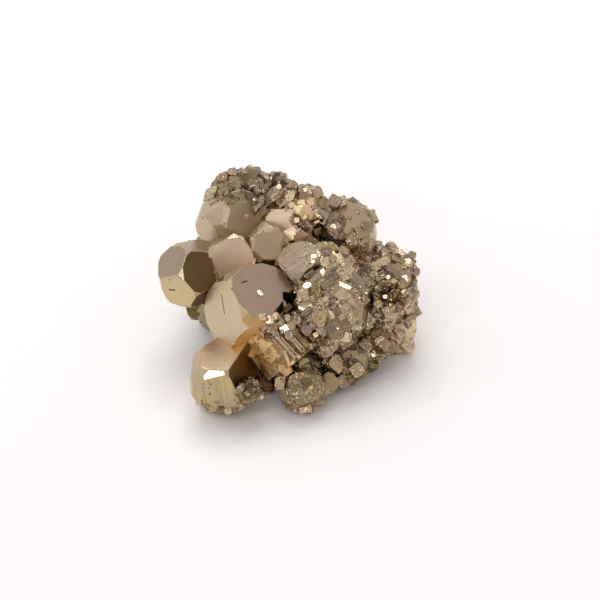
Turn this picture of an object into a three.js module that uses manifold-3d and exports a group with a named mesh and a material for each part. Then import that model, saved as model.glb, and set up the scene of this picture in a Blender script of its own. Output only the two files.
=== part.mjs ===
// A pyrite specimen: a cluster of crystals that grew into each other, in millimetres, +Z up.
// Its front is -Y and it rests on Z = 0. Each crystal is a cube whose corners are cut by octahedron
// faces and whose edges are cut, off centre, by the pentagonal faces that are typical of pyrite.

import * as THREE from 'three';
import { ConvexGeometry } from 'three/addons/geometries/ConvexGeometry.js';
import { mergeVertices } from 'three/addons/utils/BufferGeometryUtils.js';
import Module from 'manifold-3d';

const wasm = await Module();
wasm.setup();

// Driving dimensions

const CRUST_GAP = 0.3;
const FINEST_EDGE = 0.06;
const SEED = 4127;
const SEED_STEP = 97;

// How near counts as the same (a point, a place on a face, a direction), and a length that is
// longer than the whole specimen

const SAME_POINT = 1e-4;
const ON_FACE = 1e-5;
const SAME_WAY = 1e-6;
const EDGE_ON = 1e-3;
const FAR = 100;

// Habits: how far the octahedron faces (corner) and the pentagonal faces (wing) lie from the
// crystal's centre, for a cube face at 1. A crystal has no face of a kind whose number is 0.

const BLUNT = { corner: 1.22, wing: 1.16 };
const BOXY = { corner: 1.45, wing: 1.34 };
const ROUND = { corner: 1.12, wing: 1.06 };
const PENTAGONAL = { corner: 1.24, wing: 0.92 };
const PLAIN = { corner: 1.42, wing: 0 };
const CUBE = { corner: 0, wing: 0 };

// Large crystals. at: centre; size: from centre to cube face; top: compass direction from the
// front, and elevation, of one cube face in degrees; spin: turn about that face's normal;
// stretch: growth along the three cube axes.

const frontLeft = { at: [-11.9, -15.6, 6.3], size: 5.6, top: [-123, 82], spin: 119, ...BLUNT };
const farLeft = { at: [-18.1, 2, 16.9], size: 6.2, top: [-161, 49], spin: -59, ...PENTAGONAL };
const upperLeft = {
  at: [-11.2, 5, 18.9], size: 3.7, top: [-128, 51], spin: -28, stretch: [1, 1, 0.9], ...BOXY,
};
const upperMiddle = { at: [-4.3, 6, 20.6], size: 3.8, top: [3, 36], spin: 44, ...BLUNT };
const middle = {
  at: [-7, -6, 14.9], size: 6.1, top: [60, 62], spin: 150, stretch: [1.05, 0.96, 1.02], ...BOXY,
};
const frontStep = {
  at: [-2.4, -10.6, 10.9], size: 4.7, top: [60, 57], spin: -6, stretch: [0.78, 1.15, 0.88], ...BOXY,
};
const mosaic = { at: [7, -2.5, 12.2], size: 7.4, top: [12, 48], spin: 28, ...BLUNT };
const ridge = { at: [2.2, 0.4, 19.3], size: 3.3, top: [-50, 74], spin: -130, ...BOXY };
const rightTop = { at: [19.3, 5, 14.2], size: 4, top: [30, 60], spin: 40, ...BLUNT };
const rightLobe = { at: [17.4, 2.4, 10.4], size: 6.2, top: [30, 50], spin: 12, ...ROUND };
const rightFoot = { at: [18, 1.8, 5.3], size: 5, top: [70, 80], spin: 35, ...PLAIN };
const frontBall = { at: [2.4, -15.6, 4.2], size: 4.1, top: [-4, 37], spin: 20, ...ROUND };
const frontKnob = { at: [-7.9, -19.9, 6.8], size: 1.9, top: [30, 40], spin: 10, ...PLAIN };
const lowerRight = { at: [10.8, -7.6, 4.7], size: 4.1, top: [20, 50], spin: 40, ...BLUNT };
const lowerRightSmall = { at: [14.8, -4.8, 4.4], size: 3.4, top: [60, 60], spin: 10, ...PLAIN };
const rearLeft = { at: [-11, 13.4, 20.3], size: 6, top: [-130, 55], spin: 172, ...BLUNT };
const rearRight = { at: [11.4, 20, 13.5], size: 4.9, top: [20, 60], spin: 10, ...BLUNT };
const rearRightSmall = { at: [8, 16.8, 16.2], size: 2.6, top: [50, 40], spin: 10, ...PLAIN };
const backLeft = { at: [-11.6, 12, 8.4], size: 6.6, top: [-20, 75], spin: 15, ...BOXY };
const backMiddle = { at: [-2, 16.2, 13.2], size: 6.6, top: [160, 60], spin: 35, ...BLUNT };
const backRight = { at: [10, 14.6, 7], size: 6.6, top: [120, 70], spin: 25, ...BOXY };
const heart = { at: [-1, 4.5, 9.5], size: 9, top: [20, 70], spin: 30, ...PLAIN };
const underLeft = { at: [-11.3, 0.5, 9.8], size: 4.6, top: [40, 60], spin: 20, ...PLAIN };
const leftNeck = { at: [-8.6, -9, 7.4], size: 4.2, top: [50, 70], spin: 25, ...PLAIN };
const frontNeck = { at: [2, -8.4, 5], size: 3.8, top: [30, 55], spin: 5, ...PLAIN };

// The rough crest behind the large crystals, left to right

const crestLeft = { at: [-12, 17, 25.1], size: 2.8, top: [-60, 70], spin: 15, ...PLAIN };
const crestPeak = { at: [-8, 18.8, 23.7], size: 3.5, top: [20, 50], spin: 25, ...PLAIN };
const crestMiddle = { at: [-2.7, 18, 22.2], size: 3.8, top: [-20, 60], spin: 50, ...PLAIN };
const crestRight = { at: [1.8, 16.2, 20], size: 3.9, top: [40, 55], spin: 5, ...PLAIN };
const crestLedge = { at: [-7.4, 14.4, 23.6], size: 2.3, top: [10, 70], spin: 30, ...PLAIN };
const paleBlock = { at: [-1.1, 11, 21.6], size: 2.7, top: [-30, 40], spin: 20, ...PLAIN };
const goldBlock = {
  at: [1.2, 8.2, 20.6], size: 1.8, top: [35, 45], spin: 20, stretch: [0.8, 0.9, 1.5], ...PLAIN,
};

// Lone small crystals in front

const tinyBall = { at: [-4.9, -12.9, 18.8], size: 0.8, top: [0, 60], spin: 0, ...PLAIN };
const smallKnob = { at: [-5.4, -19.5, 5.6], size: 0.9, top: [60, 40], spin: 30, ...CUBE };
const stripedCube = { at: [-1.4, -17.5, 6.8], size: 1, top: [-30, 40], spin: 15, ...CUBE };
const greyBlock = { at: [2.7, -14.4, 8], size: 1.2, top: [30, 60], spin: 25, ...PLAIN };
const faceBlock = { at: [6.6, -14.4, 3.8], size: 1.8, top: [40, 40], spin: 10, ...PLAIN };

const crystals = [frontLeft, farLeft, upperLeft, upperMiddle, middle, frontStep, mosaic, ridge,
  rightTop, rightLobe, rightFoot, frontBall, frontKnob, lowerRight, lowerRightSmall, rearLeft,
  rearRight, rearRightSmall, backLeft, backMiddle, backRight, heart, underLeft, leftNeck,
  frontNeck, crestLeft, crestPeak, crestMiddle, crestRight, crestLedge, paleBlock, goldBlock,
  tinyBall, smallKnob, stripedCube, greyBlock, faceBlock];

// Small crystals that stud a large one. toward: compass direction and elevation of the middle of
// the studded side; spread: how far it reaches from there, in degrees; places: how many fit
// round the whole host; sizes: least and most; lean: how far a stud turns from its host.

const studdedSides = [
  { host: mosaic, places: 62, toward: [10, 35], spread: 74, sizes: [0.8, 1.8], lean: 8 },
  { host: rightTop, places: 16, toward: [60, 45], spread: 95, sizes: [0.9, 1.6], lean: 25 },
  { host: rightLobe, places: 26, toward: [55, 5], spread: 90, sizes: [1, 1.9], lean: 25 },
  { host: rightFoot, places: 16, toward: [60, 15], spread: 80, sizes: [1, 1.8], lean: 25 },
  { host: frontBall, places: 16, toward: [30, 10], spread: 90, sizes: [0.7, 1.2], lean: 15 },
  { host: frontKnob, places: 12, toward: [10, 30], spread: 90, sizes: [0.5, 0.9], lean: 35 },
  { host: lowerRight, places: 16, toward: [20, 20], spread: 80, sizes: [1, 1.9], lean: 12 },
  { host: lowerRightSmall, places: 13, toward: [50, 20], spread: 80, sizes: [0.9, 1.7], lean: 12 },
  { host: crestPeak, places: 14, toward: [0, 60], spread: 85, sizes: [0.9, 1.6], lean: 20 },
  { host: crestMiddle, places: 13, toward: [0, 60], spread: 85, sizes: [0.9, 1.7], lean: 20 },
  { host: crestRight, places: 13, toward: [20, 60], spread: 85, sizes: [0.9, 1.7], lean: 20 },
  { host: rearRight, places: 12, toward: [90, 50], spread: 75, sizes: [0.9, 1.5], lean: 15 },
  { host: backRight, places: 13, toward: [150, 20], spread: 80, sizes: [1.6, 2.8], lean: 12 },
  { host: backMiddle, places: 14, toward: [180, 20], spread: 80, sizes: [1.6, 2.8], lean: 10 },
  { host: backLeft, places: 11, toward: [-160, 20], spread: 75, sizes: [1.6, 2.6], lean: 12 },
];

// Stud shapes, how deep a stud sits as a share of its size, and how much rarer the large ones are

const STUD_HABITS = [CUBE, CUBE, CUBE, PLAIN];
const STUD_SINK = [0.25, 0.65];
const STUD_RARITY = 1.6;

// Growth steps: round terraces that shrink as they rise on one face of the front ball, and long
// ledges on one face of the stepped crystal. first, thickness: shares of the pitch of the ledges;
// length: a share of the crystal's own.

const ballTerraces = { host: frontBall, widths: [0.66, 0.48, 0.3], rise: 0.3 };
const stepLedges = {
  host: frontStep, heights: [0.35, 0.8, 0.5, 1.15], first: 0.2, thickness: 0.7, length: 0.8,
};

// Hollows where the crystals didn't meet

const hollows = [
  { at: [0.3, -7, 16.9], size: 1.5, top: [0, 70], spin: 20, stretch: [0.8, 1, 1.8], ...PLAIN },
  { at: [4.8, -10.1, 9.6], size: 1.5, top: [0, 40], spin: 35, stretch: [1.1, 1, 0.9], ...PLAIN },
];

// The pit in the right lobe: centre of its mouth, the way it opens, half width and depth. Its
// crust: how thick, how many crystals would fit round a whole ball, their sizes, how far they
// turn, and how far the crust reaches out past the centre of the mouth.

const pit = { mouth: [18.9, -3.4, 16], axis: [8, 44], radius: 3.7, depth: 4.4 };
const crust = { thickness: 0.8, places: 18, sizes: [0.6, 1.1], lean: 180, lip: 0.4 };
const PIT_SIDES = 9;
const PIT_ROWS = 6;

// Crystal shape

function faceNormals() {
  const faces = [];
  for (const axis of [0, 1, 2]) {
    for (const side of [1, -1]) {
      const cube = [0, 0, 0];
      cube[axis] = side;
      faces.push({ form: 'cube', normal: new THREE.Vector3(...cube) });
      for (const slope of [1, -1]) {
        const wing = [0, 0, 0];
        wing[axis] = 2 * side;
        wing[(axis + 1) % 3] = slope;
        faces.push({ form: 'wing', normal: new THREE.Vector3(...wing).normalize() });
      }
    }
  }
  for (const x of [1, -1]) {
    for (const y of [1, -1]) {
      for (const z of [1, -1]) {
        faces.push({ form: 'corner', normal: new THREE.Vector3(x, y, z).normalize() });
      }
    }
  }
  return faces;
}

const FACES = faceNormals();

function facePlanes({ corner, wing }) {
  const distances = { cube: 1, corner, wing };
  return FACES.filter(({ form }) => distances[form] > 0)
    .map(({ form, normal }) => ({ normal, distance: distances[form] }));
}

function meetingPoint(a, b, c) {
  const point = new THREE.Vector3().crossVectors(b.normal, c.normal);
  const volume = a.normal.dot(point);
  if (Math.abs(volume) < SAME_WAY) return null;
  point.multiplyScalar(a.distance);
  point.addScaledVector(new THREE.Vector3().crossVectors(c.normal, a.normal), b.distance);
  point.addScaledVector(new THREE.Vector3().crossVectors(a.normal, b.normal), c.distance);
  return point.divideScalar(volume);
}

function cornerPoints(planes) {
  const points = [];
  const inside = (p) => planes.every(({ normal, distance }) => normal.dot(p) < distance + ON_FACE);
  const known = (p) => points.some((q) => q.distanceTo(p) < SAME_POINT);
  for (let i = 0; i < planes.length; i += 1) {
    for (let j = i + 1; j < planes.length; j += 1) {
      for (let k = j + 1; k < planes.length; k += 1) {
        const point = meetingPoint(planes[i], planes[j], planes[k]);
        if (point && inside(point) && !known(point)) points.push(point);
      }
    }
  }
  return points;
}

const knownShapes = new Map();

function habitPoints(habit) {
  const key = `${habit.corner} ${habit.wing}`;
  if (!knownShapes.has(key)) knownShapes.set(key, cornerPoints(facePlanes(habit)));
  return knownShapes.get(key);
}

// Directions and turns

function direction([compass, elevation]) {
  const [a, e] = [compass, elevation].map(THREE.MathUtils.degToRad);
  return new THREE.Vector3(Math.sin(a) * Math.cos(e), -Math.cos(a) * Math.cos(e), Math.sin(e));
}

function turnOf({ top, spin }) {
  const up = direction(top);
  const across = direction([top[0] + 90, 0]);
  const beyond = new THREE.Vector3().crossVectors(up, across);
  const basis = new THREE.Matrix4().makeBasis(across, beyond, up);
  const twist = new THREE.Matrix4().makeRotationZ(THREE.MathUtils.degToRad(spin));
  return new THREE.Quaternion().setFromRotationMatrix(basis.multiply(twist));
}

function turnUpTo(way) {
  return new THREE.Quaternion().setFromUnitVectors(new THREE.Vector3(0, 0, 1), way);
}

// Solids

function asSolid(geometry) {
  geometry.deleteAttribute('normal');
  geometry.deleteAttribute('uv');
  const merged = mergeVertices(geometry, SAME_POINT);
  const vertProperties = Float32Array.from(merged.attributes.position.array);
  const triVerts = Uint32Array.from(merged.index.array);
  return new wasm.Manifold(new wasm.Mesh({ numProp: 3, vertProperties, triVerts }));
}

function crystalSolid(crystal) {
  const turn = crystal.turn ?? turnOf(crystal);
  const centre = new THREE.Vector3(...crystal.at);
  const stretch = new THREE.Vector3(...(crystal.stretch ?? [1, 1, 1]));
  const points = habitPoints(crystal).map((p) => p.clone().multiply(stretch)
    .multiplyScalar(crystal.size).applyQuaternion(turn).add(centre));
  return asSolid(new ConvexGeometry(points));
}

function ballSolid({ centre, turn, radius, depth }) {
  const ball = new THREE.SphereGeometry(1, PIT_SIDES, PIT_ROWS);
  ball.scale(radius, radius, depth);
  ball.rotateX(Math.PI / 2);
  ball.applyQuaternion(turn);
  ball.translate(...centre);
  return asSolid(ball);
}

function boxSolid(low, high, turn, centre) {
  const size = high.map((value, axis) => value - low[axis]);
  const box = new THREE.BoxGeometry(...size);
  box.translate(...low.map((value, axis) => value + size[axis] / 2));
  box.applyQuaternion(turn);
  box.translate(...centre);
  return asSolid(box);
}

// Studs

function chance(seed) {
  const steps = 2 ** 32;
  const factor = 1664525;
  const increment = 1013904223;
  let state = seed;
  return (least = 0, most = 1) => {
    state = (state * factor + increment) % steps;
    return least + (most - least) * (state / steps);
  };
}

function evenDirections(count, random) {
  const goldenAngle = Math.PI * (3 - Math.sqrt(5));
  return Array.from({ length: count }, (_, i) => {
    const height = 1 - (2 * (i + random())) / count;
    const ring = Math.sqrt(1 - height * height);
    const angle = i * goldenAngle;
    return new THREE.Vector3(ring * Math.cos(angle), ring * Math.sin(angle), height);
  });
}

function leaning(lean, random) {
  const most = THREE.MathUtils.degToRad(lean);
  return new THREE.Quaternion().setFromEuler(
    new THREE.Euler(random(-most, most), random(-most, most), random(-most, most)),
  );
}

function surfaceDistance(host, way) {
  const local = way.clone().applyQuaternion(turnOf(host).invert());
  const facing = facePlanes(host).filter(({ normal }) => normal.dot(local) > EDGE_ON);
  return host.size * Math.min(...facing.map(({ normal, distance }) => distance / normal.dot(local)));
}

function studsOn({ host, places, toward, spread, sizes, lean }, index) {
  const random = chance(SEED + index * SEED_STEP);
  const middleWay = direction(toward);
  const studs = evenDirections(places, random).map((even) => {
    const way = even.applyQuaternion(turnUpTo(middleWay));
    const size = sizes[0] + (sizes[1] - sizes[0]) * random() ** STUD_RARITY;
    const reach = surfaceDistance(host, way) - random(...STUD_SINK) * size;
    const habit = STUD_HABITS[Math.floor(random(0, STUD_HABITS.length))];
    const at = new THREE.Vector3(...host.at).addScaledVector(way, reach).toArray();
    return { way, at, size, turn: leaning(lean, random).multiply(turnOf(host)), ...habit };
  });
  const limit = Math.cos(THREE.MathUtils.degToRad(spread));
  return studs.filter(({ way }) => way.dot(middleWay) > limit);
}

// Growth steps

function terraces({ host, widths, rise }) {
  const turn = turnOf(host);
  const up = direction(host.top);
  return widths.map((width, level) => {
    const at = new THREE.Vector3(...host.at);
    at.addScaledVector(up, host.size * (1 - width) + rise * (level + 1));
    return crystalSolid({ ...PLAIN, at: at.toArray(), size: host.size * width, turn });
  });
}

function ledges({ host, heights, first, thickness, length }) {
  const [halfX, halfY, halfZ] = host.stretch.map((growth) => growth * host.size);
  const pitch = (2 * halfX) / heights.length;
  return heights.map((height, row) => {
    const start = -halfX + (row + first) * pitch;
    const low = [start, -halfY * length, 0];
    const high = [start + pitch * thickness, halfY * length, halfZ + height];
    return boxSolid(low, high, turnOf(host), host.at);
  });
}

// The pit and its crust

function pitSolid(inset) {
  const turn = turnUpTo(direction(pit.axis));
  return ballSolid({
    centre: pit.mouth, turn, radius: pit.radius - inset, depth: pit.depth - inset,
  });
}

function aboveMouth() {
  const turn = turnUpTo(direction(pit.axis));
  return boxSolid([-FAR, -FAR, crust.lip], [FAR, FAR, FAR], turn, pit.mouth);
}

function crustSolid() {
  const random = chance(SEED);
  const axis = direction(pit.axis);
  const turn = turnUpTo(axis);
  const outer = pitSolid(CRUST_GAP);
  const inset = CRUST_GAP + crust.thickness;
  const inner = pitSolid(inset);
  const grains = evenDirections(crust.places, random).map((way) => {
    const reach = new THREE.Vector3(pit.radius - inset, pit.radius - inset, pit.depth - inset);
    const at = way.multiply(reach).applyQuaternion(turn).add(new THREE.Vector3(...pit.mouth));
    return crystalSolid({
      at: at.toArray(), size: random(...crust.sizes), turn: leaning(crust.lean, random), ...CUBE,
    });
  });
  const lining = outer.subtract(inner);
  return wasm.Manifold.union([lining, ...grains]).intersect(outer).subtract(aboveMouth());
}

// Joining

function largestPiece(solid) {
  return solid.decompose().reduce((a, b) => (a.volume() > b.volume() ? a : b));
}

function wholeSkin(solid) {
  return largestPiece(largestPiece(solid).simplify(FINEST_EDGE));
}

function clusterSolid() {
  const studs = studdedSides.flatMap(studsOn);
  const grown = wasm.Manifold.union([
    ...[...crystals, ...studs].map(crystalSolid),
    ...terraces(ballTerraces),
    ...ledges(stepLedges),
  ]);
  const ground = boxSolid([-FAR, -FAR, -FAR], [FAR, FAR, 0], new THREE.Quaternion(), [0, 0, 0]);
  const cuts = [ground, pitSolid(0), ...hollows.map(crystalSolid)];
  return wholeSkin(grown.subtract(wasm.Manifold.union(cuts)));
}

function asGeometry(solid, shift) {
  const mesh = solid.getMesh();
  const positions = new Float32Array(mesh.numVert * 3);
  for (let vertex = 0; vertex < mesh.numVert; vertex += 1) {
    for (const axis of [0, 1, 2]) {
      positions[vertex * 3 + axis] = mesh.vertProperties[vertex * mesh.numProp + axis] + shift[axis];
    }
  }
  const geometry = new THREE.BufferGeometry();
  geometry.setAttribute('position', new THREE.BufferAttribute(positions, 3));
  geometry.setIndex([...mesh.triVerts]);
  return geometry;
}

// The origin is the middle of the underside.

function originShift(solid) {
  const { min, max } = solid.boundingBox();
  return [-(min[0] + max[0]) / 2, -(min[1] + max[1]) / 2, 0];
}

const pyrite = new THREE.MeshStandardMaterial({ color: 0xb9a276, roughness: 0.3, metalness: 1 });
const darkPyrite = new THREE.MeshStandardMaterial({ color: 0x6b5338, roughness: 0.4, metalness: 1 });

function namedMesh(name, solid, material, shift) {
  const mesh = new THREE.Mesh(asGeometry(solid, shift), material);
  mesh.name = name;
  return mesh;
}

const cluster = clusterSolid();
const shift = originShift(cluster);
const specimen = new THREE.Group();
specimen.add(namedMesh('pyrite_cluster', cluster, pyrite, shift));
specimen.add(namedMesh('vug_crust', wholeSkin(crustSolid()), darkPyrite, shift));

export default specimen;
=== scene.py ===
import math
import random

import bpy
from mathutils import Matrix, Vector, noise
from mathutils.bvhtree import BVHTree


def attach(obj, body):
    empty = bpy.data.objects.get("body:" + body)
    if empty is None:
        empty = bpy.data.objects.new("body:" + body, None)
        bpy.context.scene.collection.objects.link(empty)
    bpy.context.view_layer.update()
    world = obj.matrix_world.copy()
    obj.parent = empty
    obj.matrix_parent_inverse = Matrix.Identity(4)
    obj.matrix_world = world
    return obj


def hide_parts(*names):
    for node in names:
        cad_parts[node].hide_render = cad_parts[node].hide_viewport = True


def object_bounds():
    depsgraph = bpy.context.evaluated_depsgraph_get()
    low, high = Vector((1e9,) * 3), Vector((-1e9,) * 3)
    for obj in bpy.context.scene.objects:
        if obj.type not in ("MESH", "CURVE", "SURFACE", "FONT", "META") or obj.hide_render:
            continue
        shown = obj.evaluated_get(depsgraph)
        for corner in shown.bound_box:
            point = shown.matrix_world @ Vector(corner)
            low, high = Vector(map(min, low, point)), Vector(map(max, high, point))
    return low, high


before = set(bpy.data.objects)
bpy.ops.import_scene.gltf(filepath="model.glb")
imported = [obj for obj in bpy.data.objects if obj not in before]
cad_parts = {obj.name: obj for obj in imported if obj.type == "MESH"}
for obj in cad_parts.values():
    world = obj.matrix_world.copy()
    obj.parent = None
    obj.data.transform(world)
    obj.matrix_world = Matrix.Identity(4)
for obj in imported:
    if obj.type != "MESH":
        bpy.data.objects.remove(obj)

# A pyrite specimen: a cluster of crystals that grew into each other. Crystal numbers are in
# millimetres and degrees, in the cluster's own coordinates: front is -Y, the ground is Z = 0.

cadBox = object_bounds()
mm = 0.001
clusterMiddle = Vector((0.539, 1.987, 0))  # the middle of the specimen's box in those coordinates


def inFrame(point):
    return (Vector(point) - clusterMiddle) * mm


# Camera: a close-up lens that looks down on the specimen from its front

cameraSettings = {"aim": (2, 0, 12), "elevation": 40, "distance": 317, "lens": 100, "sensor": 36,
                  "nearest": 0.01, "farthest": 20}


def makeCamera(settings):
    data = bpy.data.cameras.new("camera")
    data.lens = settings["lens"]
    data.sensor_width = settings["sensor"]
    data.clip_start = settings["nearest"]
    data.clip_end = settings["farthest"]
    camera = bpy.data.objects.new("camera", data)
    bpy.context.scene.collection.objects.link(camera)
    tilt = math.radians(settings["elevation"])
    back = Vector((0, -math.cos(tilt), math.sin(tilt)))
    camera.location = inFrame(settings["aim"]) + back * settings["distance"] * mm
    camera.rotation_euler = back.to_track_quat("Z", "Y").to_euler()
    bpy.context.scene.camera = camera


makeCamera(cameraSettings)
bpy.context.scene.view_settings.view_transform = "Standard"
print("camera placed")


# Operators act on what is selected, so these select by code

def deselectAll():
    for item in bpy.context.selected_objects:
        item.select_set(False)


def makeActive(piece):
    deselectAll()
    piece.select_set(True)
    bpy.context.view_layer.objects.active = piece


def selectFaces(piece, wanted):
    mesh = piece.data
    mesh.vertices.foreach_set("select", [False] * len(mesh.vertices))
    mesh.edges.foreach_set("select", [False] * len(mesh.edges))
    mesh.polygons.foreach_set("select", [wanted(face) for face in mesh.polygons])
    return any(face.select for face in mesh.polygons)


def startEdit(piece):
    makeActive(piece)
    bpy.ops.object.mode_set(mode="EDIT")


def editAll(piece):
    startEdit(piece)
    bpy.ops.mesh.select_all(action="SELECT")


def endEdit():
    bpy.ops.object.mode_set(mode="OBJECT")


def cutAway(normal, distance):  # in edit mode
    bpy.ops.mesh.select_all(action="SELECT")
    bpy.ops.mesh.bisect(plane_co=normal * distance, plane_no=normal, use_fill=True,
                        clear_outer=True)


def cutFace(piece, normal, distance):
    startEdit(piece)
    cutAway(normal, distance)
    endEdit()


def cutGround(piece):
    if any(vertex.co.z < 0 for vertex in piece.data.vertices):
        editAll(piece)
        bpy.ops.mesh.bisect(plane_co=(0, 0, 0), plane_no=(0, 0, 1), use_fill=True,
                            clear_inner=True)
        endEdit()


def bevelEdges(piece, width, segments=2):
    editAll(piece)
    bpy.ops.mesh.bevel(offset=width, segments=segments, affect="EDGES")
    endEdit()


def roughen(piece, most):
    editAll(piece)
    bpy.ops.transform.vertex_random(offset=most, seed=3)
    endEdit()


def addBall():
    deselectAll()
    bpy.ops.mesh.primitive_ico_sphere_add(subdivisions=3, radius=1)
    return bpy.context.object


def copyOf(piece, name):
    copied = piece.copy()
    copied.data = piece.data.copy()
    copied.name = name
    copied.hide_render = False
    bpy.context.scene.collection.objects.link(copied)
    return copied


def place(piece, matrix):
    piece.matrix_world = matrix
    makeActive(piece)
    bpy.ops.object.transform_apply(location=True, rotation=True, scale=True)


def joinAll(pieces, name):
    place(pieces[0], pieces[0].matrix_world.copy())
    for piece in pieces:
        piece.select_set(True)
    bpy.ops.object.join()
    joined = bpy.context.view_layer.objects.active
    joined.name = name
    return joined


def applyModifier(piece, kind, settings):
    modifier = piece.modifiers.new(kind.lower(), kind)
    for name, value in settings.items():
        setattr(modifier, name, value)
    makeActive(piece)
    bpy.ops.object.modifier_apply(modifier=modifier.name)


bpy.context.tool_settings.mesh_select_mode = (False, False, True)


# Directions and turns. A direction is a compass angle from the front and an elevation.

def direction(compass, elevation):
    a, e = math.radians(compass), math.radians(elevation)
    return Vector((math.sin(a) * math.cos(e), -math.cos(a) * math.cos(e), math.sin(e)))


def turnOf(crystal):
    up = direction(*crystal["top"])
    across = direction(crystal["top"][0] + 90, 0)
    basis = Matrix((across, up.cross(across), up)).transposed()
    return basis @ Matrix.Rotation(math.radians(crystal["spin"]), 3, "Z")


def turnUpTo(way):
    return Vector((0, 0, 1)).rotation_difference(way).to_matrix()


# Habits: how far the octahedron faces (corner) and the pentagonal faces (wing) lie from a
# crystal's centre, for a cube face at 1. A crystal has no face of a kind whose number is 0.

habits = {
    "blunt": {"corner": 1.22, "wing": 1.16},
    "boxy": {"corner": 1.45, "wing": 0},
    "round": {"corner": 1.12, "wing": 1.06},
    "pentagonal": {"corner": 1.24, "wing": 0.92},
    "plain": {"corner": 1.42, "wing": 0},
    "cube": {"corner": 0, "wing": 0},
}


def cutPlanes(habit):
    planes = []
    for axis in range(3):
        for side in (1, -1):
            for slope in (1, -1):
                wing = [0, 0, 0]
                wing[axis] = 2 * side
                wing[(axis + 1) % 3] = slope
                planes.append((Vector(wing).normalized(), habit["wing"]))
    for x in (1, -1):
        for y in (1, -1):
            for z in (1, -1):
                planes.append((Vector((x, y, z)).normalized(), habit["corner"]))
    return [(normal, distance) for normal, distance in planes if distance]


def allPlanes(habit):
    cube = [(Vector([side * (i == axis) for i in range(3)]), 1)
            for axis in range(3) for side in (1, -1)]
    return cube + cutPlanes(habits[habit])


planesOf = {name: allPlanes(name) for name in habits}


def cutHabit(name):
    deselectAll()
    bpy.ops.mesh.primitive_cube_add(size=2, location=(0, 0, 0))
    piece = bpy.context.object
    piece.name = "habit_" + name
    piece.hide_render = True
    startEdit(piece)
    for normal, distance in cutPlanes(habits[name]):
        cutAway(normal, distance)
    endEdit()
    return piece


blanks = {name: cutHabit(name) for name in habits}
print("crystal habits cut")


# What was cut away where crystals didn't meet, and the pit in the right lobe

hollows = {
    "left_hollow": {"at": (0.2, -7, 16.9), "size": 1.7, "top": (0, 70), "spin": 5,
                    "stretch": (0.8, 1, 1.7), "habit": "plain", "edge": 0, "rough": 0.2},
    "front_hollow": {"at": (4.8, -10.1, 9.6), "size": 1.5, "top": (0, 40), "spin": 35,
                     "stretch": (1.1, 1, 0.9), "habit": "plain"},
    "mosaic_pit": {"at": (4.8, -12.6, 12.9), "size": 1.3, "top": (20, 45), "spin": 20,
                   "stretch": (1, 1.3, 1), "habit": "plain", "edge": 0, "rough": 0.2},
    "mosaic_slot": {"at": (7.5, -6.8, 18.3), "size": 0.5, "top": (12, 48), "spin": -25,
                    "stretch": (3.8, 0.7, 1.2), "habit": "cube", "edge": 0.03},
    "middle_scratch": {"at": (-8.2, -7, 22.2), "size": 0.16, "top": (60, 62), "spin": -25,
                       "stretch": (4.6, 0.8, 1.2), "habit": "cube", "edge": 0.02},
    "middle_crack": {"at": (-12.2, -8.7, 18.3), "size": 0.2, "top": (-57, 14), "spin": 125,
                     "stretch": (9, 0.6, 1.5), "habit": "cube", "edge": 0.02},
    "far_left_crack": {"at": (-22, -2.3, 16.4), "size": 0.2, "top": (-31, -4), "spin": 20,
                       "stretch": (4, 0.7, 1.2), "habit": "cube", "edge": 0.02},
    "upper_left_pit": {"at": (-12.6, 2.8, 23.1), "size": 0.5, "top": (18, 34), "spin": 20,
                       "stretch": (1.3, 1, 0.8), "habit": "plain", "edge": 0.04},
    "foot_hole": {"at": (18.9, -4.5, 6.3), "size": 0.5, "top": (30, 40), "spin": 0,
                  "stretch": (0.8, 1.3, 1.5), "habit": "plain", "edge": 0.04},
}
pit = {"mouth": (18.9, -3.4, 16), "axis": (8, 44), "radius": 3.7, "depth": 4.4, "rough": 0.12}


def pitMatrix(inset):
    size = Matrix.Diagonal((pit["radius"] - inset, pit["radius"] - inset, pit["depth"] - inset, 1))
    turn = turnUpTo(direction(*pit["axis"])).to_4x4()
    return Matrix.Translation(pit["mouth"]) @ turn @ size


def inPit(point, inset=0.0):
    return (pitMatrix(inset).inverted() @ Vector(point)).length < 1


# Finishes of a face: how bright it is, how warm its tarnish is (0 mauve, 1 orange), how strong
# its growth lines are, and how frosted it is. The brightness is partly the metal's own tone and
# partly painted light and shade: top, even, lit, white, sheen, bright, pink and the bright plate
# finishes (yellow, olive, leaf, amber, orange) are painted light; front, dusk, brown, dark and
# umber darken faces partly for their darker tarnish and partly as painted shade where they lie
# in shade or look into gaps.

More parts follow.
